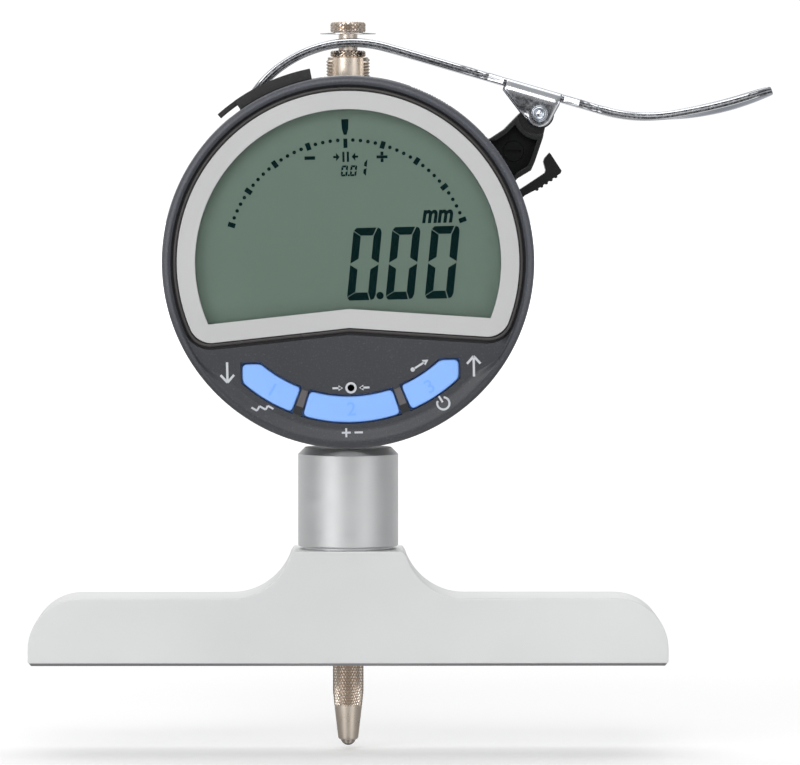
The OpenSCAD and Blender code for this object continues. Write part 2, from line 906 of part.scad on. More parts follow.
module lever_plan_2d() {
    left = crown_x - crown_r * sin(crown_turn) - 0.02;
    tine_corner = 2;
    wide_x = pivot_x + neck_right + 9;
    difference() {
        union() {
            translate([left, -fork_w / 2])
                square([pivot_x + neck_left - left + 1, fork_w]);
            translate([pivot_x + neck_left - 2, -lever_half])
                square([neck_right - neck_left + 2, 2 * lever_half]);
            polygon([[pivot_x + neck_right - eps, -lever_half],
                [wide_x, -pad_w / 2], [tip_x, -pad_w / 2],
                [tip_x, pad_w / 2], [wide_x, pad_w / 2],
                [pivot_x + neck_right - eps, lever_half]]);
        }
        for (side = [0, 1])
            mirror([0, side]) {
                translate([left + tine_corner, fork_w / 2 - tine_corner])
                    corner_cut(tine_corner, 90);
                translate([tip_x - pad_corner, pad_w / 2 - pad_corner])
                    corner_cut(pad_corner, 0);
            }
        translate([left - 1, -slot_w / 2])
            square([6.5 - left, slot_w]);
        translate([5.5, 0])
            circle(d = slot_w);
        for (side = [-1, 1], ends = [[neck_left, tab_left],
            [tab_right, neck_right]]) {
            half = (ends[1] - ends[0]) / 2;
            r = (half * half + neck_depth * neck_depth) / (2 * neck_depth);
            translate([pivot_x + ends[0] + half,
                side * (lever_half - neck_depth + r)])
                circle(r);
        }
        for (side = [0, 1])
            mirror([0, side])
                translate([pivot_x, lever_half]) {
                    translate([ear_left - ear_relief, -0.5])
                        square([ear_right - ear_left + 2 * ear_relief, 2]);
                    for (x = [ear_left - ear_relief, ear_right - 0.05])
                        translate([x, -ear_bend_r])
                            square([ear_relief + 0.05, ear_bend_r + 1]);
                }
    }
}

module ear_2d() {
    left = [ear_left, arm_over(ear_left) - 0.3];
    right = [ear_right, arm_over(ear_right) - 0.3];
    circle(ear_r);
    polygon([[0, 0], touch(left, ear_r - blunt, 1), left, right,
        touch(right, ear_r - blunt, -1)]);
}

// What the bend from arm to ear takes off the square corner
module ear_corner()
    intersection() {
        translate([0, 0, pivot_drop])
            rotate([0, arm_slope, 0])
                rotate([90, 0, 90])
                    translate([0, 0, -12])
                        linear_extrude(24)
                            translate([lever_half - ear_bend_r, -ear_bend_r])
                                corner_cut(ear_bend_r, 0);
        translate([ear_left - ear_relief / 2, 0, -10])
            cube([ear_right - ear_left + ear_relief, lever_half + 2, 20]);
    }

module strip_2d(depth)
    polygon(concat(lever_edge(0), backwards(lever_edge(depth))));

// The round tool that presses the hollow, or the bulge under it
module dish(grow)
    translate([dish_c[0], 0, dish_c[1]])
        turned()
            intersection() {
                translate([dish_long_r - dish_r, 0])
                    circle(dish_r + grow);
                translate([0, -dish_r])
                    square([dish_long_r + grow + 1, 2 * dish_r]);
            }

module lifting_lever()
    color([0.82, 0.83, 0.84])
        difference() {
            union() {
                intersection() {
                    union() {
                        plate(-pad_w / 2 - 1, pad_w / 2 + 1)
                            strip_2d(lever_t);
                        intersection() {
                            plate(-pad_w / 2 - 1, pad_w / 2 + 1)
                                strip_2d(lever_t + 2);
                            dish(lever_t);
                        }
                    }
                    translate([0, 0, crown_z - 40])
                        linear_extrude(60)
                            lever_plan_2d();
                }
                at_pivot()
                    for (side = [0, 1])
                        mirror([0, side, 0])
                            plate(lever_half - lever_t, lever_half)
                                ear_2d();
            }
            dish(0);
            at_pivot() {
                plate(-lever_half - 1, lever_half + 1)
                    circle(r = rivet_d / 2 + fit);
                for (side = [0, 1])
                    mirror([0, side, 0])
                        ear_corner();
            }
        }

module pivot_rivet()
    color([0.75, 0.8, 0.86])
        at_pivot() {
            plate(-lever_half, lever_half)
                circle(d = rivet_d);
            for (side = [0, 1])
                mirror([0, side, 0])
                    difference() {
                        plate(lever_half, lever_half + 0.5)
                            circle(d = rivet_head_d);
                        plate(lever_half + 0.2, lever_half + 1)
                            circle(d = rivet_head_d * 0.45);
                    }
        }

// Outline of the bracket, measured from the display centre
module bracket_2d()
    difference() {
        polygon([polar(case_r + 0.9, bracket_angle + 9.5),
            polar(case_r + 2.5, bracket_angle + 7.2),
            polar(case_r + 5.1, bracket_angle + 6.6),
            bracket_pivot() + [-3.1, 0.05],
            bracket_pivot() + [-1.2, 1.3], bracket_pivot() + [1.1, -1.6],
            bracket_pivot() + [0.55, -3.9],
            polar(case_r + 6.3, bracket_angle - 5.5),
            polar(case_r + 5.1, bracket_angle - 7.2),
            polar(case_r + 2.6, bracket_angle - 7.6),
            polar(case_r + 0.5, bracket_angle - 9.5)]);
        circle(case_r + fit);
    }

function bracket_pivot() = pivot - [0, dial_z];

// The outline drawn in by the rim, clear of the step round the pivot
module bracket_pocket_2d() {
    middle = polar(case_r + 4.6, bracket_angle + 0.3);
    share = 1 - pocket_rim / bracket_half_w;
    difference() {
        translate(middle)
            scale(share)
                translate(-middle)
                    bracket_2d();
        translate(bracket_pivot())
            circle(bracket_step_r + pocket_rim);
    }
}

module lever_bracket()
    color([0.09, 0.09, 0.1])
        on_case()
            difference() {
                union() {
                    plate(-bracket_half, bracket_half)
                        bracket_2d();
                    plate(-bracket_half, bracket_half)
                        translate(bracket_pivot())
                            circle(bracket_boss_r);
                    plate(-bracket_wide, bracket_wide)
                        difference() {
                            bracket_2d();
                            translate(bracket_pivot())
                                circle(bracket_step_r);
                        }
                }
                for (side = [0, 1])
                    mirror([0, side, 0])
                        plate(bracket_wide - pocket_depth, bracket_wide + 1)
                            bracket_pocket_2d();
                plate(-lug_t / 2 - 0.05, lug_t / 2 + 0.05)
                    rotate(bracket_angle)
                        translate([case_r - 1, -2.65])
                            square([lug_reach() - case_r + 1.1, 5.3]);
                plate(-bracket_half - 1, bracket_half + 1)
                    translate(bracket_pivot())
                        circle(r = rivet_d / 2 + running);
                plate(-bracket_half - 1, bracket_half + 1)
                    translate(bracket_screw_at())
                        circle(r = 1 + fit);
                for (side = [0, 1])
                    mirror([0, side, 0])
                        plate(bracket_half - 0.7, bracket_half + 1)
                            translate(bracket_screw_at())
                                circle(r = 1.7);
            }

module bracket_screw()
    color([0.12, 0.12, 0.13])
        on_case()
            translate([bracket_screw_at()[0], 0, bracket_screw_at()[1]])
                difference() {
                    union() {
                        plate(-bracket_half + 0.2, bracket_half - 0.7)
                            circle(r = 1);
                        for (side = [0, 1])
                            mirror([0, side, 0])
                                plate(bracket_half - 0.7, bracket_half - 0.1)
                                    circle(r = 1.45);
                    }
                    plate(bracket_half - 0.4, bracket_half)
                        square([2.4, 0.4], center = true);
                }

module latch_pin()
    color([0.7, 0.7, 0.72])
        on_case()
            plate(-latch_half - 1.5, latch_half + 1.5)
                translate(latch_at())
                    circle(r = 0.6);

// Outline of the latch, measured from its hinge
module latch_2d() {
    ridge_from = [4.6, 2.34];
    ridge_to = [7.6, 4.35];
    ridges = 5;
    for (i = [0 : ridges - 1])
        translate(ridge_from + (ridge_to - ridge_from) * i / (ridges - 1))
            circle(0.26);
    circle(latch_knuckle);
    polygon([[0.3, -1.1], [2.65, 1.32], [4.85, 2.47], [7.91, 4.56],
        [8.35, 4.85], [8.53, 5.28], [6.9, 7.8], [6.61, 8.16],
        [5.85, 7.3], [5.65, 6.69], [6.0, 5.35], [5.9, 4.95],
        [3.05, 3.05], [0.8, 1.6], [-0.95, 0.8]]);
}

module bracket_latch()
    color([0.09, 0.09, 0.1])
        on_case()
            plate(-latch_half, latch_half)
                translate(latch_at())
                    difference() {
                        latch_2d();
                        circle(r = 0.6 + running);
                    }

// ---- Display ----

module middle_button_2d(grow)
    sector_2d(button_out + grow, button_in - grow,
        270 - middle_turn - turn_of(grow), 270 + middle_turn + turn_of(grow));

module button_cells(grow) {
    middle_button_2d(grow);
    for (side = [0, 1])
        mirror([side, 0])
            side_button_2d(grow);
}

function turn_of(grow) = grow / button_out * 180 / PI;

module side_button_2d(grow)
    intersection() {
        sector_2d(button_out + grow, button_in - grow,
            270 + side_near - turn_of(grow), 270 + side_far + turn_of(grow));
        translate([0, -40])
            square([button_side + grow, 40 - button_top + grow]);
    }

module at_socket()
    rotate([0, -socket_angle, 0])
        children();

module bezel()
    color([0.3, 0.3, 0.32])
        on_dial() {
            difference() {
                turned()
                    polygon(concat(
                        [[0, bezel_rear], [bezel_r, bezel_rear]],
                        arc([bezel_r - 0.9, lip_front - 0.9], 0.9, 0, 90, 6),
                        [[bezel_r - lip_w + 0.3, lip_front],
                            [bezel_r - lip_w, panel_front],
                            [0, panel_front]]));
                plate(bezel_rear - 1, panel_back)
                    circle(bezel_in);
                plate(ledge, lip_front + 1)
                    round_dee(trim_r + groove_w - 0.05,
                        trim_tip + groove_w, trim_corner + groove_w);
                plate(panel_back - 1, lip_front)
                    dee(window_r + 0.45, window_tip + 0.4);
                plate(panel_back - 1, lip_front)
                    button_cells(button_gap);
                for (i = [0 : hollow_count - 1])
                    rotate([0, -90 - i * 360 / hollow_count, 0])
                        translate([bezel_r - hollow_depth, 0, 0])
                            plate(bezel_rear - 1, lip_front + 1)
                                translate([0, -hollow_half()])
                                    square([5, 2 * hollow_half()]);
                at_socket()
                    plate(socket_back() + 0.35, board_back - 0.35)
                        translate([bezel_in - 2, -mouth_half - 0.4])
                            square([8, 2 * mouth_half + 0.8]);
            }
            for (a = [45 : 90 : 315])
                plate(bezel_rear, board_back - 0.1)
                    difference() {
                        intersection() {
                            translate(polar(back_screw_r(), a))
                                circle(1.7);
                            circle(bezel_in + 0.1);
                        }
                        translate(polar(back_screw_r(), a))
                            circle(r = 0.8 + fit);
                    }
            for (side = [-1, 1])
                plate(panel_front - eps, panel_front + 0.25)
                    rotate(270 + side * (middle_turn + side_near) / 2)
                        translate([button_in + 0.3, -0.3])
                            square([button_out - button_in - 0.6, 0.6]);
        }

function hollow_half() = bezel_r * sin(hollow_turn / 2);
function socket_back() = board_back - 3.4;

module grip_ring()
    color([0.75, 0.76, 0.78])
        on_dial()
            plate(back_rear, back_front - 0.02)
                ring_2d(grip_r, back_r + fit);

module display_back()
    color([0.2, 0.2, 0.21])
        on_dial() {
            difference() {
                plate(back_rear, back_front)
                    circle(back_r);
                plate(0, lip_front)
                    circle(r = hub_r + running);
                for (a = [45 : 90 : 315])
                    plate(0, lip_front)
                        rotate(a)
                            translate([back_screw_r(), 0])
                                circle(r = 0.8 + fit);
                for (a = [45 : 90 : 315])
                    plate(0, back_rear + 0.9)
                        rotate(a)
                            translate([back_screw_r(), 0])
                                circle(r = 1.45);
            }
            plate(back_rear - 0.85, back_front)
                translate(polar(stop_at_r, 90 - face_turn))
                    circle(r = stop_pin_r);
        }

function back_screw_r() = bezel_in - 1.4;

module back_screws()
    color([0.75, 0.75, 0.76])
        on_dial()
            for (a = [45 : 90 : 315])
                rotate([0, -a, 0])
                    translate([back_screw_r(), 0, 0])
                        difference() {
                            union() {
                                plate(back_rear + 0.1, back_rear + 0.9)
                                    circle(r = 1.35);
                                plate(back_rear + 0.8, back_front + 1.4)
                                    circle(r = 0.8);
                            }
                            cross_slot(back_rear, 0.6, 0.9);
                        }

module window()
    color([0.8, 0.86, 0.84, 0.35])
        on_dial()
            plate(ledge, ledge + window_t)
                dee(window_r - fit, window_tip - fit);

module window_trim()
    color([0.76, 0.76, 0.77])
        on_dial()
            plate(ledge, ledge + trim_t)
                difference() {
                    round_dee(trim_r, trim_tip, trim_corner);
                    dee(window_r, window_tip);
                }

glass_r = window_r + 1.2;
glass_tip = window_tip + 2;

module lcd_glass()
    color([0.4, 0.47, 0.42])
        on_dial()
            plate(glass_front - glass_t, glass_front)
                dee(glass_r, glass_tip);

module lcd_frame()
    color([0.88, 0.88, 0.86])
        on_dial()
            plate(board_front, glass_front)
                difference() {
                    dee(bezel_in - 0.4, glass_tip + 1.8);
                    dee(glass_r + fit, glass_tip + fit);
                }

module contact_strips()
    color([0.3, 0.3, 0.33])
        on_dial()
            plate(board_front, glass_front - glass_t) {
                translate([8 - glass_r, -glass_tip + 0.5])
                    square([2 * (glass_r - 8), 1.8]);
                translate([13 - glass_r, glass_r - 5])
                    square([2 * (glass_r - 13), 1.8]);
            }

module main_board()
    color([0.1, 0.32, 0.18])
        on_dial()
            plate(board_back, board_front)
                circle(bezel_in - 0.6);

module key_mat()
    color([0.16, 0.17, 0.22])
        on_dial()
            plate(board_front, panel_back - flange_t - button_travel - 0.05)
                intersection() {
                    sector_2d(button_out + 1.2, button_in - 1.2, 218, 322);
                    translate([-30, -40])
                        square([60, 40 - button_top + 1]);
                }

battery_r = 10;
battery_t = 2.5;
battery_z = -13;

module battery()
    color([0.8, 0.8, 0.82])
        on_dial()
            translate([0, 0, battery_z])
                union() {
                    plate(board_back - battery_t, board_back - 0.6)
                        circle(battery_r);
                    plate(board_back - 0.6 - eps, board_back - 0.05)
                        circle(battery_r - 1.6);
                }

module battery_clip()
    color([0.78, 0.78, 0.74])
        on_dial()
            translate([0, 0, battery_z]) {
                plate(board_back - battery_t - 0.35, board_back - battery_t - 0.02)
                    translate([-battery_r - 0.7, -2.5])
                        square([2 * battery_r + 1.4, 5]);
                for (side = [0, 1])
                    mirror([side, 0, 0])
                        plate(board_back - battery_t - 0.1, board_back)
                            translate([battery_r + 0.2, -2.5])
                                square([0.5, 5]);
            }

module data_socket()
    color([0.12, 0.12, 0.13])
        on_dial()
            at_socket()
                difference() {
                    plate(socket_back(), board_back)
                        translate([bezel_in - 5.8, -mouth_half - 1])
                            square([5.25, 2 * mouth_half + 2]);
                    plate(socket_back() + 0.6, board_back - 0.6)
                        translate([bezel_in - 4.6, -mouth_half])
                            square([8, 2 * mouth_half]);
                }

// A button with a gently rounded top and a flange behind the panel
flange_t = 0.4;
flange_w = 0.7;

module button_solid() {
    intersection() {
        plate(panel_back - flange_t / 2, panel_front + button_rise)
            children(0);
        turned()
            polygon(concat([[0, 0], [button_out + 3, 0]],
                arc([(button_in + button_out) / 2, panel_front
                    + button_rise - 9], 9, 50, 130, 16), [[0, 14]]));
    }
    plate(panel_back - flange_t, panel_back - 0.02)
        children(1);
}

module button_left()
    color([0.58, 0.75, 1])
        on_dial()
            button_solid() {
                mirror([1, 0])
                    side_button_2d(0);
                mirror([1, 0])
                    side_button_2d(flange_w);
            }

module button_right()
    color([0.58, 0.75, 1])
        on_dial()
            button_solid() {
                side_button_2d(0);
                side_button_2d(flange_w);
            }

module button_middle()
    color([0.58, 0.75, 1])
        on_dial()
            button_solid() {
                middle_button_2d(0);
                middle_button_2d(flange_w);
            }

module connector_cap()
    color([0.1, 0.1, 0.11])
        on_dial()
            at_socket() {
                plate(bezel_rear + 0.15, panel_back)
                    sector_2d(bezel_r + plug_rise, bezel_r + 0.05,
                        -plug_turn / 2, plug_turn / 2);
                plate(socket_back() + 1, board_back - 1)
                    translate([bezel_in - 4, -mouth_half + 0.3])
                        square([bezel_wall + 4.1, 2 * mouth_half - 0.6]);
                plate(board_back - 1, board_front + 1)
                    sector_2d(bezel_r + plug_rise, bezel_r + plug_rise - 0.8,
                        plug_turn / 2 - 0.5, plug_turn / 2 + 6.3);
            }

base();
sleeve();
clamp_screw();
lower_stem();
lower_bush();
body_case();
rear_cover();
cover_screws();
upper_stem();
swivel_hub();
hub_screws();
friction_ring();
encoder_board();
flex_cable();
guide_rail();
spring_anchor();
return_spring();
lever_bracket();
bracket_screw();
latch_pin();
bracket_latch();
spindle();
contact_point();
contact_ball();
scale_carrier();
scale_strip();
guide_pin();
spring_hook();
lift_collar();
lift_washer();
lift_cap();
lifting_lever();
pivot_rivet();
bezel();
grip_ring();
display_back();
back_screws();
window();
window_trim();
lcd_glass();
lcd_frame();
contact_strips();
main_board();
key_mat();
battery();
battery_clip();
data_socket();
button_left();
button_middle();
button_right();
connector_cap();
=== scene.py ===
import json
from math import acos, asin, atan, atan2, copysign, cos, degrees, hypot, pi, radians, sin, sqrt, tan
import bpy
import bmesh
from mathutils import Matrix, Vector

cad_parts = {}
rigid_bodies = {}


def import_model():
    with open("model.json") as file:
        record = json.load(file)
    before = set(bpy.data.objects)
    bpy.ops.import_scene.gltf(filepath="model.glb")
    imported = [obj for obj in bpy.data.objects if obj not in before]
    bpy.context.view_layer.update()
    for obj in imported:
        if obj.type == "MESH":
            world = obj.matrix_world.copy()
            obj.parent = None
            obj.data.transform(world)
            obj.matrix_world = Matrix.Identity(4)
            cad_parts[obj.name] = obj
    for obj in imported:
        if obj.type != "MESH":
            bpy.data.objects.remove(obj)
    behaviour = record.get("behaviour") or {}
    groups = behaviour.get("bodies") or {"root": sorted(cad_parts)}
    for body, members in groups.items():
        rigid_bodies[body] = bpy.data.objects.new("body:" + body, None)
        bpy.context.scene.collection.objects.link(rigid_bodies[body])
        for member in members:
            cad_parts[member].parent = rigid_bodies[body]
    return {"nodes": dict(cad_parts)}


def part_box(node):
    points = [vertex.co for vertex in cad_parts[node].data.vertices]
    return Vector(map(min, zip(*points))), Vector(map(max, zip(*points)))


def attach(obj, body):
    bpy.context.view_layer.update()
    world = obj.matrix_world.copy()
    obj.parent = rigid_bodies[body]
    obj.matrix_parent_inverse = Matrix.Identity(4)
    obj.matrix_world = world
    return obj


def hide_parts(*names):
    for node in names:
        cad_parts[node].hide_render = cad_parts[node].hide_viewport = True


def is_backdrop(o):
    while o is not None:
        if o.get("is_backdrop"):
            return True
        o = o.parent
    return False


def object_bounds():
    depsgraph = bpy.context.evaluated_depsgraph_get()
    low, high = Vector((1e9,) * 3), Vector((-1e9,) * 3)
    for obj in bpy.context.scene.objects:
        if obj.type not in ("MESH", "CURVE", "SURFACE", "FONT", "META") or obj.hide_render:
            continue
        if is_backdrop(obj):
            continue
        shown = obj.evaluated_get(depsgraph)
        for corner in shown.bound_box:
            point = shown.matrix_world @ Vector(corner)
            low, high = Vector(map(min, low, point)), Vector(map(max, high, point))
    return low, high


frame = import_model()
cadLow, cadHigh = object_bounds()
nodes = frame["nodes"]
mm = 0.001

# the display's middle, its small turn to the left and where its faces lie, in millimetres
dialZ = 64.2
faceTurn = radians(1.3)
panelY = -18.4
glassY = -16.5


def onDial(x, z, y):
    # dial millimetres to the frame, in metres
    c, s = cos(faceTurn), sin(faceTurn)
    return Vector((x * c - z * s, y, dialZ + x * s + z * c)) * mm


def polar(r, a):
    return r * cos(a), r * sin(a)


def feed(tree, socket, value):
    if isinstance(value, bpy.types.NodeSocket):
        tree.links.new(value, socket)
    elif value is not None:
        socket.default_value = value


def addNode(tree, kind, *values, **named):
    # values fill the inputs in order; a name with a capital is an input, any other a node's setting
    n = tree.nodes.new(kind)
    for key, value in named.items():
        if key[0].isupper():
            feed(tree, n.inputs[key.replace("_", " ")], value)
        else:
            setattr(n, key, value)
    for socket, value in zip(n.inputs, values):
        feed(tree, socket, value)
    return n


def calc(tree, operation, *values):
    return addNode(tree, "ShaderNodeMath", *values, operation=operation).outputs[0]


def mixColour(tree, factor, a, b, blend="MIX"):
    # a and b are sockets or plain colours
    n = addNode(tree, "ShaderNodeMix", factor, data_type="RGBA", blend_type=blend)
    for socket, value in ((6, a), (7, b)):
        feed(tree, n.inputs[socket], (*value, 1) if isinstance(value, tuple) else value)
    return n.outputs[2]


def spread(tree, source, low, high):
    # low and high are pairs: what comes in, what goes out
    n = addNode(tree, "ShaderNodeMapRange", Value=source, From_Min=low[0], From_Max=high[0],
                To_Min=low[1], To_Max=high[1])
    return n.outputs["Result"]


def split(tree, vector):
    return addNode(tree, "ShaderNodeSeparateXYZ", vector).outputs


def length(tree, vector):
    return addNode(tree, "ShaderNodeVectorMath", vector, operation="LENGTH").outputs["Value"]


def coordinates(tree, kind="Object"):
    return tree.nodes.new("ShaderNodeTexCoord").outputs[kind]


def noise(tree, where, scale, detail, rough):
    n = addNode(tree, "ShaderNodeTexNoise", Vector=where, Scale=scale, Detail=detail, Roughness=rough)
    return n.outputs["Fac"]


def mixedSurface(tree, output, factor, first, second):
    mix = addNode(tree, "ShaderNodeMixShader", factor, first.outputs[0], second.outputs[0])
    tree.links.new(mix.outputs[0], tree.nodes[output].inputs["Surface"])


def ringMask(tree, where, inner, outer, gone, full):
    # one between two radii about the display's axis, in millimetres, fading out towards the lower height
    soft = 0.05
    flat = addNode(tree, "ShaderNodeMapping", Vector=where, Location=(0, 0, -dialZ * mm),
                   Scale=(1, 0, 1))
    radius = length(tree, flat.outputs["Vector"])
    height = split(tree, where)["Z"]
    mask = spread(tree, radius, ((inner - soft) * mm, 0.0), ((inner + soft) * mm, 1.0))
    limits = [spread(tree, height, ((dialZ + gone) * mm, 0.0), ((dialZ + full) * mm, 1.0))]
    if outer:
        limits.append(spread(tree, radius, ((outer - soft) * mm, 1.0), ((outer + soft) * mm, 0.0)))
    for limit in limits:
        mask = calc(tree, "MULTIPLY", mask, limit)
    return mask


# every finish is a Principled shader: a slow cloud for tone and gloss, a fine grain for bump
def finish(name, s):
    m = bpy.data.materials.new(name)
    m.use_nodes = True
    t = m.node_tree
    p = t.nodes["Principled BSDF"].inputs
    where = coordinates(t)
    stretch = addNode(t, "ShaderNodeMapping", Vector=where, Scale=s.get("stretch", (1, 1, 1))).outputs[0]
    cloud = noise(t, stretch, s.get("cloud", 60), 5.0, 0.6)
    grain = noise(t, stretch, s["grain"], 3.0, 0.65)
    tone = mixColour(t, cloud, s["colour"], s["second"])
    if "fleck" in s:
        tone = mixColour(t, spread(t, grain, (0.56, 0.0), (0.70, 1.0)), tone, s["fleck"])
    # painted shade and painted highlight: each ring darkens or lightens the tone about the display's
    # axis
    for *limits, factor in s.get("rings", ()):
        tone = mixColour(t, ringMask(t, where, *limits), tone, factor, "MULTIPLY")
    if "foot" in s:
        # darker below this height, in millimetres
        low = spread(t, split(t, where)["Z"], (s["foot"] * mm, 1.0), ((s["foot"] + 0.04) * mm, 0.0))
        tone = mixColour(t, low, tone, s["footTone"], "MULTIPLY")
    if "deep" in s:
        # painted shade: darker nearer to the part's middle plane than this, down in the pockets
        depth = calc(t, "ABSOLUTE", split(t, where)["Y"])
        inside = spread(t, depth, (s["deep"] * mm, 1.0), ((s["deep"] + 0.1) * mm, 0.0))
        tone = mixColour(t, inside, tone, s["deepShadeTone"], "MULTIPLY")
    if "turned" in s:
        # fine rings left by the lathe draw the highlights out along the axis
        along = addNode(t, "ShaderNodeTangent", direction_type="RADIAL", axis="Z")
        feed(t, p["Anisotropic"], s["turned"])
        feed(t, p["Tangent"], along.outputs[0])
    bump = addNode(t, "ShaderNodeBump", Strength=s.get("bump", 0.2), Distance=0.02 * mm, Height=grain)
    if "edge" in s:
        soft = addNode(t, "ShaderNodeBevel", Radius=s["edge"] * mm, samples=6)
        feed(t, bump.inputs["Normal"], soft.outputs["Normal"])
    step = 0.05
    gloss = spread(t, cloud, (0.3, s["rough"] - step), (0.7, s["rough"] + step))
    for key, value in (("Base Color", tone), ("Roughness", gloss), ("Normal", bump.outputs["Normal"]),
                       ("Metallic", s.get("metal", 0.0)), ("Specular IOR Level", s.get("specular", 0.5)),
                       ("Coat Weight", s.get("coat", 0.0)), ("Coat Roughness", 0.08),
                       ("Specular Tint", (*s.get("rimTone", (1, 1, 1)), 1))):
        feed(t, p[key], value)
    return m


look = {
    # plated: foot and footTone paint shade on the base's bottom chamfer, darker below that height
    "plated": dict(colour=(0.80, 0.81, 0.81), second=(0.86, 0.87, 0.87), rough=0.46, metal=0.6,
                   grain=4200, bump=0.12, edge=0.25, cloud=35, foot=0.42,
                   footTone=(0.36, 0.36, 0.37)),
    "sleeve": dict(colour=(0.72, 0.73, 0.74), second=(0.78, 0.785, 0.79), rough=0.42, metal=0.9,
                   grain=1800, stretch=(1, 1, 7), bump=0.14, edge=0.18, cloud=90, turned=0.6),
    "bezel": dict(colour=(0.037, 0.039, 0.045), second=(0.042, 0.044, 0.051), rough=0.40,
                  grain=3600, bump=0.24, edge=0.15, fleck=(0.068, 0.071, 0.079),
                  # rings: painted shade darkens the groove round the trim in the upper half, and a
                  # painted highlight lightens the rim's lip, fading out towards the bottom
                  rings=((27.06, 27.74, -12.8, -11.8, (0.3, 0.3, 0.32)),
                         (27.8, 0, -18, -4, (1.8, 1.83, 1.9)))),
    "moulding": dict(colour=(0.046, 0.043, 0.042), second=(0.058, 0.054, 0.053), rough=0.28,
                     grain=3600, bump=0.1),
    # painted light and painted shade: a lit and a shaded copy of the panel plastic for the two slopes of
    # the crest between buttons
    "webPaintedLight": dict(colour=(0.10, 0.092, 0.096), second=(0.12, 0.11, 0.115), rough=0.35, grain=3600,
                bump=0.1),
    "webPaintedShade": dict(colour=(0.016, 0.016, 0.018), second=(0.020, 0.020, 0.022), rough=0.5,
                     grain=3600, bump=0.1),
    "trim": dict(colour=(0.50, 0.502, 0.505), second=(0.535, 0.537, 0.54), rough=0.40, grain=5200,
                 bump=0.12, edge=0.2, metal=0.15),
    "black": dict(colour=(0.006, 0.0065, 0.007), second=(0.009, 0.0095, 0.010), rough=0.34,
                  grain=3000, bump=0.22, edge=0.15, fleck=(0.016, 0.017, 0.018), specular=0.35),
    # bracket: deep and deepShadeTone paint shade into its two pockets
    "bracket": dict(colour=(0.008, 0.0085, 0.009), second=(0.012, 0.0125, 0.013), rough=0.30,
                    grain=3000, bump=0.2, edge=0.3, fleck=(0.020, 0.021, 0.022), specular=0.45,
                    deep=2.8, deepShadeTone=(0.35, 0.35, 0.36)),
    # painted shade: near black with little shine, for the pocket floors and the screw down in them
    "pocket": dict(colour=(0.004, 0.0045, 0.005), second=(0.007, 0.0075, 0.008), rough=0.5,
                   grain=3000, bump=0.2, specular=0.12),
    "rubber": dict(colour=(0.016, 0.016, 0.017), second=(0.022, 0.022, 0.023), rough=0.60,
                   grain=3400, bump=0.4, edge=0.25, fleck=(0.032, 0.032, 0.034)),
    "case": dict(colour=(0.040, 0.041, 0.045), second=(0.050, 0.051, 0.055), rough=0.52, grain=2400,
                 bump=0.5, edge=0.2, fleck=(0.065, 0.066, 0.072)),
    "nickel": dict(colour=(0.76, 0.66, 0.56), second=(0.84, 0.74, 0.64), rough=0.30, metal=1.0,
                   grain=2400, bump=0.03, cloud=400, turned=0.85),
    "knurl": dict(colour=(0.70, 0.60, 0.51), second=(0.80, 0.70, 0.61), rough=0.20, metal=1.0,
                  grain=2400, bump=0.02, cloud=300, rimTone=(0.5, 0.45, 0.4)),
    "rivet": dict(colour=(0.62, 0.66, 0.72), second=(0.72, 0.76, 0.82), rough=0.18, metal=1.0,
                  grain=2200, bump=0.05, cloud=500),
    "zinc": dict(colour=(0.62, 0.64, 0.67), second=(0.72, 0.74, 0.77), rough=0.14, metal=1.0,
                 grain=1500, bump=0.05, cloud=250, rimTone=(0.55, 0.57, 0.62)),
    "steel": dict(colour=(0.70, 0.71, 0.73), second=(0.80, 0.81, 0.82), rough=0.2, metal=1.0,
                  grain=2200, bump=0.06, edge=0.08, cloud=300),
    "alloy": dict(colour=(0.55, 0.56, 0.58), second=(0.62, 0.63, 0.65), rough=0.35, metal=1.0,
                  grain=2200, bump=0.12, edge=0.1),
    "brass": dict(colour=(0.68, 0.52, 0.26), second=(0.74, 0.60, 0.34), rough=0.28, metal=1.0,
                  grain=2200, bump=0.1, edge=0.1),
    "board": dict(colour=(0.012, 0.085, 0.038), second=(0.018, 0.11, 0.05), rough=0.3, grain=1800,
                  bump=0.1, edge=0.05, coat=0.4),
    "copper": dict(colour=(0.55, 0.27, 0.06), second=(0.62, 0.33, 0.09), rough=0.3, grain=1800,
                   bump=0.1, coat=0.4),
    "white": dict(colour=(0.70, 0.70, 0.67), second=(0.76, 0.76, 0.73), rough=0.5, grain=1800,
                  bump=0.1, edge=0.1),
    "carbide": dict(colour=(0.50, 0.45, 0.39), second=(0.58, 0.53, 0.47), rough=0.16, metal=1.0,
                    grain=2200, bump=0.03, foot=-13.02, footTone=(0.16, 0.16, 0.16)),
    "lcd": dict(colour=(0.141, 0.188, 0.160), second=(0.158, 0.208, 0.177), rough=0.35, grain=2600,
                bump=0.02, cloud=25, specular=0.2),
    "ink": dict(colour=(0.001, 0.011, 0.012), second=(0.002, 0.013, 0.014), rough=0.6, grain=3000,
                specular=0.0),
    "print": dict(colour=(0.50, 0.52, 0.55), second=(0.56, 0.58, 0.61), rough=0.5, grain=3000,
                  bump=0.1),
    "button": dict(colour=(0.237, 0.445, 0.98), second=(0.265, 0.483, 1.0), rough=0.42, grain=3600,
                   bump=0.12, edge=0.3, specular=0.3),
    "buttonMark": dict(colour=(0.17, 0.38, 0.92), second=(0.19, 0.41, 0.95), rough=0.45, grain=3600,
                       bump=0.1),
    "gap": dict(colour=(0.006, 0.012, 0.05), second=(0.008, 0.016, 0.06), rough=0.6, grain=3000,
                bump=0.1),
    "scale": dict(colour=(0.55, 0.62, 0.66), second=(0.62, 0.68, 0.72), rough=0.12, grain=1400,
                  metal=0.3),
}
made = {key: finish(key, s) for key, s in look.items()}


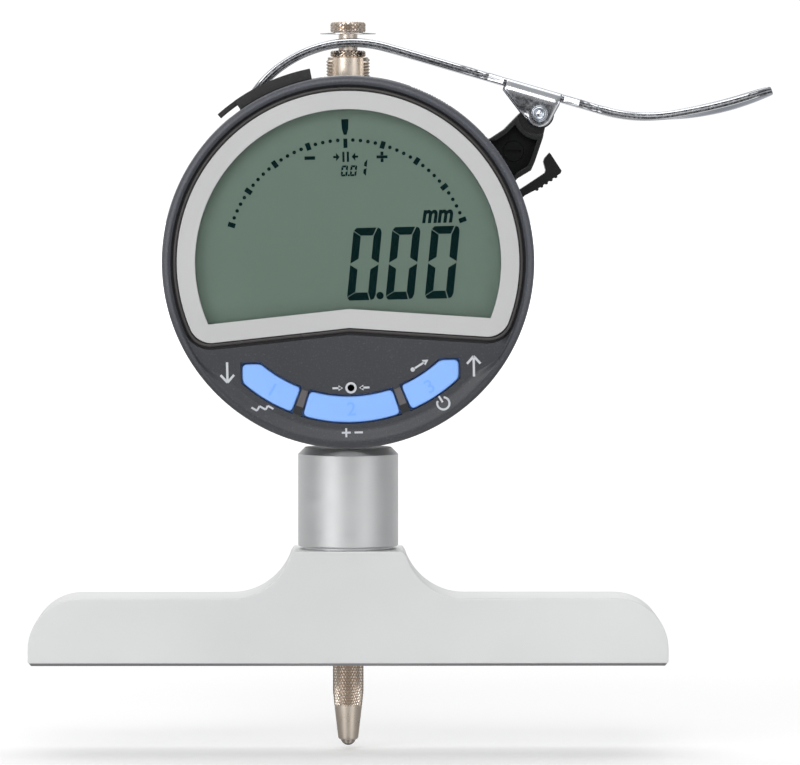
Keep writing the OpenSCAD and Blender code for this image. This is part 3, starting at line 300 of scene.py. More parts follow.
def tornBand(m):
    # the dull torn band that shearing leaves half-way down the strip's edge
    t = m.node_tree
    colour, gloss = [t.nodes["Principled BSDF"].inputs[key] for key in ("Base Color", "Roughness")]
    torn = addNode(t, "ShaderNodeAttribute", attribute_name="torn").outputs["Fac"]
    speck = spread(t, noise(t, coordinates(t), 2300.0, 4.0, 0.8), (0.42, 0.0), (0.70, 1.0))
    dark = mixColour(t, speck, (0.045, 0.045, 0.05), (0.42, 0.43, 0.45))
    feed(t, colour, mixColour(t, torn, colour.links[0].from_socket, dark))
    feed(t, gloss, calc(t, "MULTIPLY_ADD", torn, 0.22, gloss.links[0].from_socket))


def windowFinish():
    m = bpy.data.materials.new("window")
    m.use_nodes = True
    t = m.node_tree
    t.nodes.remove(t.nodes["Principled BSDF"])
    clear = addNode(t, "ShaderNodeBsdfTransparent", Color=(0.97, 0.985, 0.975, 1))
    shine = addNode(t, "ShaderNodeBsdfGlossy", Color=(1, 1, 1, 1), Roughness=0.03)
    edge = addNode(t, "ShaderNodeFresnel", IOR=1.15)
    mixedSurface(t, "Material Output", edge.outputs["Fac"], clear, shine)
    return m


tornBand(made["zinc"])
made["window"] = windowFinish()

wears = {
    "plated": ("base",),
    "sleeve": ("sleeve", "lower_stem"),
    "case": ("body_case", "rear_cover", "display_back"),
    "bezel": ("bezel",),
    "trim": ("window_trim",),
    "window": ("window",),
    "lcd": ("lcd_glass",),
    "bracket": ("lever_bracket",),
    # the screw down in the bracket's pocket takes the painted pocket shade
    "pocket": ("bracket_screw",),
    "black": ("bracket_latch", "clamp_screw", "data_socket"),
    "rubber": ("connector_cap", "friction_ring", "contact_strips"),
    "nickel": ("upper_stem", "lift_collar", "lift_cap", "contact_point", "spindle"),
    "steel": ("grip_ring", "lift_washer", "pivot_rivet", "guide_pin", "cover_screws", "back_screws",
              "hub_screws", "spring_anchor", "spring_hook", "return_spring", "latch_pin", "battery",
              "battery_clip"),
    "zinc": ("lifting_lever",),
    "alloy": ("swivel_hub", "scale_carrier", "guide_rail"),
    "brass": ("lower_bush",),
    "board": ("encoder_board", "main_board"),
    "copper": ("flex_cable",),
    "white": ("lcd_frame",),
    "scale": ("scale_strip",),
    "carbide": ("contact_ball",),
    "gap": ("key_mat",),
    "button": ("button_left", "button_middle", "button_right"),
}
for key, names in wears.items():
    for name in names:
        nodes[name].data.materials.clear()
        nodes[name].data.materials.append(made[key])
print("finishes on the solids done")


# pieces made here
def linked(name, data):
    o = bpy.data.objects.new(name, data)
    bpy.context.scene.collection.objects.link(o)
    return o


def smoothed(me, angle):
    me.shade_smooth()
    me.set_sharp_from_angle(angle=radians(angle))


def meshFrom(name, verts, faces, material, smooth=None, near=1e-7, torn=None):
    me = bpy.data.meshes.new(name)
    me.from_pydata([tuple(v) for v in verts], [], faces)
    if torn:
        me.attributes.new("torn", "FLOAT", "POINT").data.foreach_set("value", torn)
    bm = bmesh.new()
    bm.from_mesh(me)
    bmesh.ops.remove_doubles(bm, verts=bm.verts, dist=near)
    if torn:
        bmesh.ops.dissolve_degenerate(bm, dist=1e-7, edges=bm.edges)
    bmesh.ops.recalc_face_normals(bm, faces=bm.faces)
    bm.to_mesh(me)
    bm.free()
    if smooth:
        smoothed(me, smooth)
    me.materials.append(made[material])
    return me


def place(name, me, body, slot, *replaced):
    o = linked(name, me)
    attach(o, body)
    if replaced:
        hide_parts(*replaced)


def joined(name, meshes, smooth=None):
    bm = bmesh.new()
    for me in meshes:
        bm.from_mesh(me)
    out = bpy.data.meshes.new(name)
    bm.to_mesh(out)
    bm.free()
    # each part of the piece keeps its own finish
    kinds = []
    for me in meshes:
        if me.materials[0] not in kinds:
            kinds.append(me.materials[0])
    wear = [kinds.index(me.materials[0]) for me in meshes for _ in me.polygons]
    for kind in kinds:
        out.materials.append(kind)
    out.polygons.foreach_set("material_index", wear)
    if smooth:
        smoothed(out, smooth)
    return out


def swept(name, columns, material, closed, smooth=50):
    # columns of points, joined one to the next; the ends are capped unless the run is closed
    verts, faces, n = [p for column in columns for p in column], [], len(columns[0])
    for c in range(len(columns) if closed else len(columns) - 1):
        a, b = c * n, (c + 1) % len(columns) * n
        faces += [[a + i, b + i, b + (i + 1) % n, a + (i + 1) % n] for i in range(n)]
    if not closed:
        faces += [list(range(n)), list(range(len(verts) - 1, len(verts) - n - 1, -1))]
    return meshFrom(name, verts, faces, material, smooth)


def lathe(name, profile, material, count=96):
    # profile: radius and height in millimetres, from foot to top, on the spindle's axis
    angles = [2 * pi * i / count for i in range(count)]
    rings = [[Vector((*polar(r, a), z)) * mm for a in angles] for r, z in profile]
    return swept(name, rings, material, False, 35)


def tube(name, outline, material, count=128, smooth=35):
    # a closed outline of radius and height for each angle, turned about the spindle's axis
    columns = []
    for i in range(count):
        a = 2 * pi * i / count
        columns.append([Vector((*polar(r, a), z)) * mm for r, z in outline(a)])
    return swept(name, columns, material, True, smooth)


def laidOver(me, spot):
    # from the spindle's axis to its own: this mirrors the piece, so its faces are turned
    for v in me.vertices:
        v.co = spot(*v.co)
    me.flip_normals()
    me.update()


# geometry nodes: studs of a knurl, in groups round an axis
class Graph:
    def __init__(self, name, counts, sizes):
        self.tree = bpy.data.node_groups.new(name, "GeometryNodeTree")
        self.ids = {}
        for kind, labels in (("NodeSocketInt", counts), ("NodeSocketFloat", sizes)):
            for label in labels:
                sock = self.tree.interface.new_socket(label, in_out="INPUT", socket_type=kind)
                self.ids[label] = sock.identifier
        self.tree.interface.new_socket("Geometry", in_out="OUTPUT", socket_type="NodeSocketGeometry")
        self.given = self.tree.nodes.new("NodeGroupInput").outputs

    def node(self, kind, *values, **named):
        return addNode(self.tree, kind, *values, **named).outputs[0]

    def calc(self, operation, *values):
        return calc(self.tree, operation, *values)

    def close(self, geometry, material):
        self.material = material
        real = self.node("GeometryNodeRealizeInstances", geometry)
        dressed = self.node("GeometryNodeSetMaterial", real, Material=material)
        self.tree.links.new(dressed, self.tree.nodes.new("NodeGroupOutput").inputs[0])

    def mesh(self, name, values):
        seed = linked(name + "Seed", bpy.data.meshes.new(name + "Seed"))
        mod = seed.modifiers.new("nodes", "NODES")
        mod.node_group = self.tree
        for label, value in values.items():
            mod[self.ids[label]] = value
        ready = seed.evaluated_get(bpy.context.evaluated_depsgraph_get())
        me = bpy.data.meshes.new_from_object(ready)
        me.name = name
        me.materials.clear()
        me.materials.append(self.material)
        me.polygons.foreach_set("material_index", [0] * len(me.polygons))
        seed.modifiers.remove(mod)
        bpy.data.objects.remove(seed)
        return me


def knurlGraph(material):
    g = Graph("knurl " + material, ("Groups", "Studs", "Rows"),
              ("Radius", "Group Turn", "Stud Turn", "First Turn", "Foot", "Row Rise", "Half Width",
               "Half Height", "Depth", "Taper From", "Taper"))
    i = g.given
    perGroup = g.calc("MULTIPLY", i["Studs"], i["Rows"])
    points = g.tree.nodes.new("GeometryNodePoints")
    feed(g.tree, points.inputs[0], g.calc("MULTIPLY", perGroup, i["Groups"]))
    index = g.node("GeometryNodeInputIndex")
    group = g.calc("FLOOR", g.calc("DIVIDE", g.calc("ADD", index, 0.5), perGroup))
    inGroup = g.calc("SUBTRACT", index, g.calc("MULTIPLY", group, perGroup))
    row = g.calc("FLOOR", g.calc("DIVIDE", g.calc("ADD", inGroup, 0.5), i["Studs"]))
    stud = g.calc("SUBTRACT", inGroup, g.calc("MULTIPLY", row, i["Studs"]))
    stagger = g.calc("MULTIPLY", g.calc("FLOORED_MODULO", row, 2.0), 0.5)
    turn = g.calc("ADD", g.calc("MULTIPLY", g.calc("ADD", stud, stagger), i["Stud Turn"]),
                  g.calc("ADD", g.calc("MULTIPLY", group, i["Group Turn"]), i["First Turn"]))
    rise = g.calc("ADD", g.calc("MULTIPLY", row, i["Row Rise"]), i["Foot"])
    below = g.calc("MAXIMUM", g.calc("SUBTRACT", i["Taper From"], rise), 0.0)
    radius = g.calc("SUBTRACT", i["Radius"], g.calc("MULTIPLY", below, i["Taper"]))
    spot = g.node("ShaderNodeCombineXYZ", g.calc("MULTIPLY", radius, g.calc("COSINE", turn)),
                  g.calc("MULTIPLY", radius, g.calc("SINE", turn)), rise)
    feed(g.tree, points.inputs["Position"], spot)
    put = g.node("GeometryNodeInstanceOnPoints", Points=points.outputs[0],
                 Instance=g.node("GeometryNodeMeshCone", 4, 1, 1, 0.4, 1.0, 1.0),
                 Rotation=g.node("ShaderNodeCombineXYZ", 0.0, pi / 2, turn),
                 Scale=g.node("ShaderNodeCombineXYZ", i["Half Height"], i["Half Width"], i["Depth"]))
    g.close(put, made[material])
    return g


def threadGraph(material):
    g = Graph("thread " + material, ("Steps",), ("Radius", "Height", "Turns", "Foot", "Tooth"))
    i = g.given
    radius = i["Radius"]
    spiral = g.node("GeometryNodeCurveSpiral", i["Steps"], i["Turns"], radius, radius, i["Height"])
    ridge = g.node("GeometryNodeCurvePrimitiveCircle", 4, Radius=i["Tooth"])
    upright = g.node("GeometryNodeSetCurveNormal", spiral, mode="Z_UP")
    wound = g.node("GeometryNodeCurveToMesh", Curve=upright, Profile_Curve=ridge, Fill_Caps=True)
    lift = g.node("ShaderNodeCombineXYZ", 0.0, 0.0, i["Foot"])
    g.close(g.node("GeometryNodeTransform", Geometry=wound, Translation=lift), made[material])
    return g


def studs(graph, name, s, radius, foot, rows):
    step = 2 * pi / s["studs"]
    return graph.mesh(name, {
        "Groups": 1, "Studs": s["studs"], "Rows": rows, "Radius": radius * mm, "Group Turn": 0.0,
        "Stud Turn": step, "First Turn": 0.0, "Foot": foot * mm,
        "Row Rise": s["rowRise"] * mm, "Half Width": radius * sin(step / 2) * 1.02 * mm,
        "Half Height": s["rowRise"] * 1.02 * mm, "Depth": s["depth"] * mm,
        "Taper From": s.get("taperFrom", -1000.0) * mm, "Taper": s.get("taper", 0.0)})


nickelKnurl = knurlGraph("knurl")

# contact point: a knurled drum, a plain cone below it and a small ball
contactSettings = {"radius": 2.45, "knurlTop": 2.3, "knurlRows": 21, "coneTop": -4.6,
                   "coneRadius": 1.62, "studs": 32, "rowRise": 0.45, "depth": 0.15, "footRound": 0.5}


def contactPoint(s):
    low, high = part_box("contact_point")
    foot, top = low[2] / mm, high[2] / mm
    radius, coneTop, e = s["radius"], s["coneTop"], s["footRound"]
    core = radius - s["depth"]
    slope = (radius - s["coneRadius"]) / (coneTop - foot)
    plainTop = s["knurlTop"] - s["knurlRows"] * s["rowRise"]
    profile = [(s["coneRadius"] - e * (1 - sin(a)), foot + e * (1 - cos(a)))
               for a in (radians(15 * k) for k in range(7))]
    profile += [(radius - (coneTop - plainTop) * slope, plainTop),
                (core - (coneTop - plainTop - 0.6) * slope, plainTop + 0.6), (core, coneTop),
                (core, s["knurlTop"]), (radius - 0.05, s["knurlTop"] + 0.25),
                (radius - 0.05, top - 0.15), (radius - 0.2, top)]
    drum = lathe("contactDrum", profile, "nickel")
    knurl = studs(nickelKnurl, "contactKnurl", dict(s, taper=slope, taperFrom=coneTop), core,
                  plainTop + s["rowRise"], s["knurlRows"])
    place("contact_knurled", joined("contact", [drum, knurl], 40), "spindle_set", "warm_nickel",
          "contact_point")


contactPoint(contactSettings)
print("contact point done")

# the big piece that follows a rule: the stamped lever, one sheet with two ears bent down
leverSettings = {"thick": 1.3, "crownX": 0.8, "crownZ": 99.5, "crownR": 20.0, "crownTurn": 54.0,
                 "slope": 16.2, "armLen": 35.8, "bendR": 24.0, "padStart": 9.0, "padR": 90.0,
                 "padEnd": 19.48, "padHalf": 6.0, "padCorner": 4.5, "padGrow": 9.0, "forkHalf": 4.5,
                 "tineCorner": 2.0, "slotR": 1.8, "slotX": 5.5, "pivotX": 30.35, "pivotDrop": 4.2,
                 "earBend": 1.9, "earRadius": 2.15, "earLeft": -5.1, "earRight": 3.7, "relief": 0.4,
                 "tabLeft": -7.9, "tabRight": 6.5, "neckLeft": -11.3, "neckRight": 9.9,
                 "neckDepth": 0.7, "half": 4.6, "dishDepth": 0.7, "dishR": 22.0, "dishLongR": 40.0,
                 "edge": 0.3, "lowEdge": 0.2, "leftLean": 0.17, "rightLean": 0.26}

# down a sheared side: how far down, how dull, how far proud
shearedSide = [(0.05, 0.0, 0.0), (0.10, 1.0, 0.0), (0.36, 1.0, 0.0), (0.42, 0.0, 0.02),
               (0.48, 0.0, 0.06), (0.54, 0.0, 0.02), (0.60, 1.0, 0.0), (0.90, 1.0, 0.0),
               (0.96, 0.1, 0.0)]

# columns across an ear, closer together at its two borders
earColumns = [0, 0.012, 0.035, 0.1, 0.2, 0.3, 0.4, 0.5, 0.6, 0.7, 0.8, 0.9, 0.965, 0.988, 1.0]


def leverPath(s):
    # stations along the top of the strip: x, z and the direction that points up out of it
    slope = radians(s["slope"])
    up = Vector((sin(slope), cos(slope)))
    along = Vector((cos(slope), -sin(slope)))
    crownC = Vector((s["crownX"], s["crownZ"] - s["crownR"]))
    armFrom = crownC + s["crownR"] * up
    armTo = armFrom + s["armLen"] * along
    bendC = armTo + s["bendR"] * up
    padStart, padEnd = radians(s["padStart"]), radians(s["padEnd"])
    padFrom = bendC + s["bendR"] * Vector((sin(padStart), -cos(padStart)))
    padC = padFrom + s["padR"] * Vector((-sin(padStart), cos(padStart)))
    out = []

    def arc(centre, radius, angles):
        # with a radius below zero the strip bends upwards
        for a in angles:
            n = Vector((sin(a), cos(a)))
            out.append((centre + radius * n, n))

    first = radians(s["crownTurn"])
    shares = [0, 0.004, 0.012, 0.025, 0.045, 0.07, 0.1] + [0.1 + 0.9 * k / 30 for k in range(1, 31)]
    arc(crownC, s["crownR"], [-first + (first + slope) * f for f in shares])
    p, r = s["pivotX"], s["relief"]
    earIn, earOut = p + s["earLeft"], p + s["earRight"]
    xs = [armFrom[0] + k * (p + s["neckLeft"] - armFrom[0]) / 9 for k in range(1, 10)]
    for a, b in ((s["neckLeft"], s["tabLeft"]), (s["tabRight"], s["neckRight"])):
        xs += [p + a + (b - a) * k / 8 for k in range(9)]
    # stations close together where the outline jumps: at the notches, the tabs and the ears
    for d in (0, 0.03, 0.1):
        xs += [earIn - r - d, earOut + r + d]
    xs += [p + s["tabLeft"] - 0.06, p + s["tabRight"] + 0.06, earIn - 0.002, earOut + 0.002]
    xs += [earIn + (earOut - earIn) * f for f in earColumns]
    for x in sorted(set(round(v, 5) for v in xs)):
        if armFrom[0] < x < armTo[0]:
            out.append((armFrom + along * ((x - armFrom[0]) / along[0]), up))
    arc(bendC, -s["bendR"], [slope - (padStart + slope) * k / 9 for k in range(10)])
    shares = [k / 20 for k in range(1, 20)] + [0.965, 0.98, 0.99, 0.996, 1.0]
    arc(padC, -s["padR"], [-padStart - (padEnd - padStart) * f for f in shares])
    return out, padC


def leverHalf(x, s, tipX, leftX):
    # half the strip's breadth at a station
    p = x - s["pivotX"]
    half = s["half"]
    if x < leftX + s["tineCorner"]:
        r = s["tineCorner"]
        return s["forkHalf"] - r + sqrt(max(0, r * r - (leftX + r - x) ** 2))
    if p < s["neckLeft"]:
        return s["forkHalf"]
    for a, b in ((s["neckLeft"], s["tabLeft"]), (s["tabRight"], s["neckRight"])):
        if a <= p <= b:
            h = (b - a) / 2
            r = (h * h + s["neckDepth"] ** 2) / (2 * s["neckDepth"])
            return half - s["neckDepth"] + r - sqrt(r * r - (p - a - h) ** 2)
    if s["earLeft"] - s["relief"] - 0.001 < p < s["earRight"] + s["relief"] + 0.001:
        return half - s["earBend"]
    if p < s["neckRight"]:
        return half
    if p < s["neckRight"] + s["padGrow"]:
        return half + (s["padHalf"] - half) * eased((p - s["neckRight"]) / s["padGrow"])
    r = s["padCorner"]
    if x > tipX - r:
        return s["padHalf"] - r + sqrt(max(0, r * r - (x - tipX + r) ** 2))
    return s["padHalf"]


def eased(f):
    f = max(0.0, min(1.0, f))
    return f * f * (3 - 2 * f)


def leverLean(p, s):
    # the short straight sides next to the ears lean in towards the top
    if s["tabLeft"] - 0.01 < p < s["earLeft"] - s["relief"] - 0.01:
        return s["leftLean"]
    if s["earRight"] + s["relief"] + 0.01 < p < s["tabRight"] + 0.01:
        return s["rightLean"]
    return 0.0


def slotHalf(x, s):
    if x < s["slotX"]:
        return s["slotR"]
    return sqrt(max(0, s["slotR"] ** 2 - (x - s["slotX"]) ** 2))


def rounded(distance, r):
    # how far a rounded edge lies below the flat, a set distance in from the border
    gap = max(0.0, r - distance)
    return r - sqrt(max(0.0, r * r - gap * gap))


def leverMesh(s):
    path, padC = leverPath(s)
    turn = radians((s["padStart"] + s["padEnd"]) / 2 + 0.5)
    down = Vector((sin(turn), -cos(turn)))
    dishC = padC + (s["padR"] + s["dishDepth"] - s["dishLongR"]) * down
    leftX, tipX = path[0][0][0], path[-1][0][0]
    thick, edge, low = s["thick"], s["edge"], s["lowEdge"]
    earIn, earOut = s["pivotX"] + s["earLeft"], s["pivotX"] + s["earRight"]
    verts, faces, torn = [], [], []

    def add(point, n, y, depth, rough=0.0):
        # the pad's hollow is pressed through the sheet, so top and bottom move together
        px, pz = point[0] - n[0] * depth, point[1] - n[1] * depth
        if point[0] > s["pivotX"] + s["neckRight"]:
            away = point - dishC
            reach = s["dishLongR"] - s["dishR"] + sqrt(s["dishR"] ** 2 - y * y)
            u = reach - away.length
            push = 0.5 * (u + sqrt(u * u + 0.02))
            px += away[0] / away.length * push
            pz += away[1] / away.length * push
        verts.append(Vector((px, y, pz)) * mm)
        torn.append(rough)
        return len(verts) - 1

    def wall(ends, point, n, y, top, bottom, proud=0.0, lean=0.0):
        # a sheared side: two dull bands with a bright ridge between them, smooth where it leans
        middle = []
        for f, dull, swell in shearedSide:
            out = -copysign(lean * (1 - f), y) if lean else proud * swell
            middle.append(add(point, n, y + out, top + (bottom - top) * f, 0.0 if lean else dull))
        return [ends[0], *middle, ends[1]]

    def strip(a, b):
        for k in range(len(a) - 1):
            faces.append([a[k], a[k + 1], b[k + 1], b[k]])

    run = [0.0]
    for k in range(1, len(path)):
        run.append(run[-1] + (path[k][0] - path[k - 1][0]).length)
    borders = [0.0, 0.035, 0.11, edge]
    for side in (1, -1):
        last = None
        for k, (point, n) in enumerate(path):
            x = point[0]
            outer, inner = leverHalf(x, s, tipX, leftX), slotHalf(x, s)
            slotted = inner > 0.05
            ear = earIn - 0.001 < x < earOut + 0.001
            endGap = min(run[k], run[-1] - run[k])
            ys = [outer - d for d in borders]
            inside = inner + edge if slotted else 0.0
            ys += [ys[-1] + (inside - ys[-1]) * f / 6 for f in range(1, 7)]
            ys += [inner + d for d in reversed(borders[:-1])] if slotted else [0.0] * 3
            lean = leverLean(x - s["pivotX"], s)
            top, bottom = [], []
            for j, y in enumerate(ys):
                inward = lean if j < len(borders) else 0.0
                gaps = [endGap]
                if not ear:
                    gaps.append(outer - y)
                if slotted:
                    gaps.append(y - inner)
                top.append(add(point, n, side * (y - inward), rounded(min(gaps), edge)))
                bottom.append(add(point, n, side * y, thick - rounded(min(gaps), low)))
            column = innerColumn = None
            if not ear:
                ends = (top[0], bottom[0])
                column = wall(ends, point, n, side * ys[0], edge, thick - low, proud=side, lean=lean)
            if inner > 0.0:
                depths = (edge, thick - low) if slotted else (0.0, thick)
                innerColumn = wall((top[-1], bottom[-1]), point, n, side * ys[-1], *depths)
            if last:
                strip(last[0], top)
                strip(last[1], bottom)
                if last[2] and column:
                    strip(last[2], column)
                elif last[2] or column:
                    # where the ear begins or ends, the short wall closes against the flat border
                    a, b = last[2], (top[0], bottom[0])
                    if column:
                        a, b = column, (last[0][0], last[1][0])
                    faces.append([*a, b[1], b[0]])
                if last[3] and innerColumn:
                    strip(last[3], innerColumn)
                elif last[3]:
                    faces.append([*last[3], bottom[-1], top[-1]])
            if k in (0, len(path) - 1):
                # the sheared end: one column of wall points for each row across
                across = [wall((top[j], bottom[j]), point, n, side * ys[j], edge, thick - low)
                          for j in range(len(ys))]
                across[0] = column
                for a, b in zip(across, across[1:]):
                    strip(a, b)
            last = (top, bottom, column, innerColumn)
        ears(s, side, path, add, faces)
    return meshFrom("lever", verts, faces, "zinc", 42, 2e-6, torn)


def earLimits(s, d):
    # left and right border of an ear at a depth under the arm's top, along the arm from above the pivot
    slope = radians(s["slope"])
    c = Vector((s["pivotDrop"] * sin(slope), s["pivotDrop"] * cos(slope)))
    r = s["earRadius"]
    out = []
    for start, sign in ((s["earLeft"], -1), (s["earRight"], 1)):
        corner = Vector((start / cos(slope), s["earBend"]))
        v = corner - c
        turn = acos(r / v.length) * sign
        u = v.normalized()
        touch = c + r * Vector((u[0] * cos(turn) - u[1] * sin(turn),
                                u[0] * sin(turn) + u[1] * cos(turn)))
        if d < touch[1]:
            out.append(corner[0] + (touch[0] - corner[0]) * (d - corner[1]) / (touch[1] - corner[1]))
        else:
            out.append(c[0] + sign * sqrt(max(0.0, r * r - (d - c[1]) ** 2)))
    return out, c, r


def ears(s, side, path, add, faces):
    slope = radians(s["slope"])
    along = Vector((cos(slope), -sin(slope)))
    up = Vector((sin(slope), cos(slope)))
    armAt = next(p for p, n in path if p[0] > s["pivotX"] + s["earLeft"] and (n - up).length < 1e-9)
    root = armAt + along * ((s["pivotX"] - armAt[0]) / along[0])
    bend, thick, base = s["earBend"], s["thick"], s["half"] - s["earBend"]
    _, c, r = earLimits(s, bend)
    # rows down the ear: depth and breadth outside, the same inside, how much of the rounding
    rows = []
    for a in (pi / 2 * k / 7 for k in range(8)):
        rows.append((bend * (1 - cos(a)), base + bend * sin(a),
                     thick + (bend - thick) * (1 - cos(a)), base + (bend - thick) * sin(a),
                     min(1.0, a / 0.6)))
    for a in (pi / 2 * k / 16 for k in range(1, 17)):
        depth = bend + (c[1] + r - bend) * sin(a)
        rows.append((depth, s["half"], depth, s["half"] - thick, 1.0))
    last = None
    for depth, y, innerDepth, innerY, share in rows:
        (sl, sr), c, r = earLimits(s, max(depth, bend))
        outerRow, innerRow = [], []
        for f in earColumns:
            at = sl + (sr - sl) * f
            gap = min(at - sl, sr - at) * 0.85
            if depth > c[1]:
                gap = min(gap, r - hypot(at - c[0], depth - c[1]))
            dull = 0.9 if depth > bend + 0.3 and gap > 0.4 else 0.0
            point = root + along * at
            sink = rounded(gap, s["edge"]) * share
            # across the bend the rounding sinks towards the bend's own middle
            a = asin(min(1.0, (y - base) / bend)) if depth < bend else pi / 2
            fall = sink * cos(a) if depth < bend else 0.0
            outerRow.append(add(point, up, side * (y - sink * sin(a)), depth + fall, dull))
            innerRow.append(add(point, up, side * innerY, innerDepth))
        if last:
            for a, b in ((last[0], outerRow), (last[1], innerRow)):
                faces += [[a[k], a[k + 1], b[k + 1], b[k]] for k in range(len(earColumns) - 1)]
            for k in (0, -1):
                faces.append([last[0][k], outerRow[k], innerRow[k], last[1][k]])
        last = (outerRow, innerRow)


place("lever_sheet", leverMesh(leverSettings), "lever", "stamped_steel", "lifting_lever")
print("lever done")

rivetSettings = {"x": 30.35, "z": 87.542, "face": 4.6, "shank": 1.0, "rings": [
    (0.001, 0.30), (0.2, 0.28), (0.36, 0.14), (0.52, 0.12), (0.62, 0.26), (0.74, 0.42), (0.95, 0.46),
    (1.08, 0.40), (1.14, 0.32), (1.20, 0.38), (1.30, 0.34), (1.38, 0.22), (1.4, 0.0)]}


def rivet(s):
    # shank and two formed heads, turned about the pivot's axis
    outline = [(r, -s["face"] - h) for r, h in s["rings"]]
    outline += [(s["shank"], -s["face"]), (s["shank"], s["face"])]
    outline += [(r, s["face"] + h) for r, h in reversed(s["rings"])]
    me = tube("rivet", lambda a: outline, "rivet", 64, 40)
    laidOver(me, lambda x, y, z: (s["x"] * mm + x, z, s["z"] * mm + y))
    place("rivet_formed", me, "lever", "ground_steel", "pivot_rivet")


rivet(rivetSettings)

stemSettings = {"outer": 3.5, "pitch": 0.5, "depth": 0.26, "bore": 2.45, "lead": 0.45, "smoothR": 2.66,
                "threadTurn": 42.0, "threadFoot": 27.4}


def upperStem(s):
    low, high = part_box("upper_stem")
    foot, top = low[2] / mm, high[2] / mm
    core = s["outer"] - s["depth"]
    turn = radians(s["threadTurn"])

    def outline(a):
        # thread at the left and right only, plain round wall in front and behind
        side = min(a % pi, pi - a % pi)
        r = core if side < turn else s["smoothR"]
        return [(s["bore"], foot), (r, foot), (r, top - 0.1), (r - 0.1, top), (s["bore"], top)]

    body = tube("stemCore", outline, "nickel", 240)
    start, end = dialZ + s["threadFoot"], top - s["lead"]
    wound = threadGraph("nickel").mesh("stemRidge", {
        "Radius": core * mm, "Height": (end - start) * mm, "Turns": (end - start) / s["pitch"],
        "Steps": 72, "Foot": start * mm, "Tooth": s["depth"] * mm})
    bm = bmesh.new()
    bm.from_mesh(wound)
    for sign in (1, -1):
        cut = (sin(turn) * sign, cos(turn), 0)
        bmesh.ops.bisect_plane(bm, geom=bm.verts[:] + bm.edges[:] + bm.faces[:], plane_co=(0, 0, 0),
                               plane_no=cut)
    middles = [(f, f.calc_center_median()) for f in bm.faces]
    plain = [f for f, middle in middles if abs(middle.y) > tan(turn) * abs(middle.x)]
    bmesh.ops.delete(bm, geom=plain, context="FACES")
    bmesh.ops.holes_fill(bm, edges=[e for e in bm.edges if e.is_boundary], sides=12)
    bmesh.ops.recalc_face_normals(bm, faces=bm.faces)
    bm.to_mesh(wound)
    bm.free()
    place("stem_threaded", joined("stem", [body, wound], 30), "body", "warm_nickel", "upper_stem")


upperStem(stemSettings)
print("rivet and stem done")

capSettings = {"studs": 22, "rowRise": 0.40, "depth": 0.18, "round": 0.3, "dimple": 1.4}


def cap(s):
    low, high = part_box("lift_cap")
    foot, top, core = low[2] / mm, high[2] / mm, high[0] / mm - s["depth"]
    e, d = s["round"], s["dimple"]
    profile = [(core - e, foot), (core, foot + e), (core, top - e), (core - e * 0.3, top - e * 0.3),
               (core - e, top), (d, top), (d - 0.25, top - 0.18), (0.05, top - 0.22)]
    drum = lathe("capDrum", profile, "nickel")
    rows = int((top - foot - 0.1) / s["rowRise"]) - 1
    first = (foot + top) / 2 - (rows - 1) * s["rowRise"] / 2
    knurl = studs(nickelKnurl, "capKnurl", s, core, first, rows)
    place("cap_knurled", joined("cap", [drum, knurl], 40), "spindle_set", "warm_nickel", "lift_cap")


cap(capSettings)

collarSettings = {"studs": 26, "rowRise": 0.33, "depth": 0.16, "round": 0.15, "bore": 2.42}


def collar(s):
    low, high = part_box("lift_collar")
    foot, top, core = low[2] / mm, high[2] / mm, high[0] / mm - s["depth"]
    e, bore = s["round"], s["bore"]
    outline = [(bore, foot), (core - e, foot), (core, foot + e), (core, top - e), (core - e, top),
               (bore, top)]
    ring = tube("collarRing", lambda a: outline, "nickel")
    knurl = studs(nickelKnurl, "collarKnurl", s, core, (foot + top) / 2 - s["rowRise"] / 2, 2)
    place("collar_knurled", joined("collar", [ring, knurl], 40), "spindle_set", "warm_nickel",
          "lift_collar")


collar(collarSettings)
print("cap and collar done")

# painted shade: a dull black sheet on the floor of the bracket's two pockets, standing in for the shade
# there
pocketShadeSettings = {"floor": 2.7, "near": 0.02, "lifts": (0.002, 0.012)}


def pocketShadeSheet(s):
    source = nodes["lever_bracket"].data
    verts, faces = [], []
    for side in (-1, 1):
        level = side * s["floor"]
        for p in source.polygons:
            corners = [source.vertices[v].co / mm for v in p.vertices]
            if all(abs(c[1] - level) < s["near"] for c in corners):
                for lift in s["lifts"]:
                    faces.append(list(range(len(verts), len(verts) + len(corners))))
                    verts += [Vector((c[0], level + side * lift, c[2])) * mm for c in corners]
    return meshFrom("pocketShadeSheet", verts, faces, "pocket")


place("pocket_shade_sheet", pocketShadeSheet(pocketShadeSettings), "body", "black_plastic")

# serrated ring behind the bezel: knurled where the bezel's hollows leave it open
gripSettings = {"hollows": 13, "studs": 7, "rows": 4, "studTurn": 1.75, "rowRise": 0.42, "depth": 0.22,
                "chamfer": 0.6, "hollowHalf": 6.6, "capAt": 114.0, "capHalf": 12.5, "underCap": 28.6,
                "bore": 27.99, "taper": 0.43}


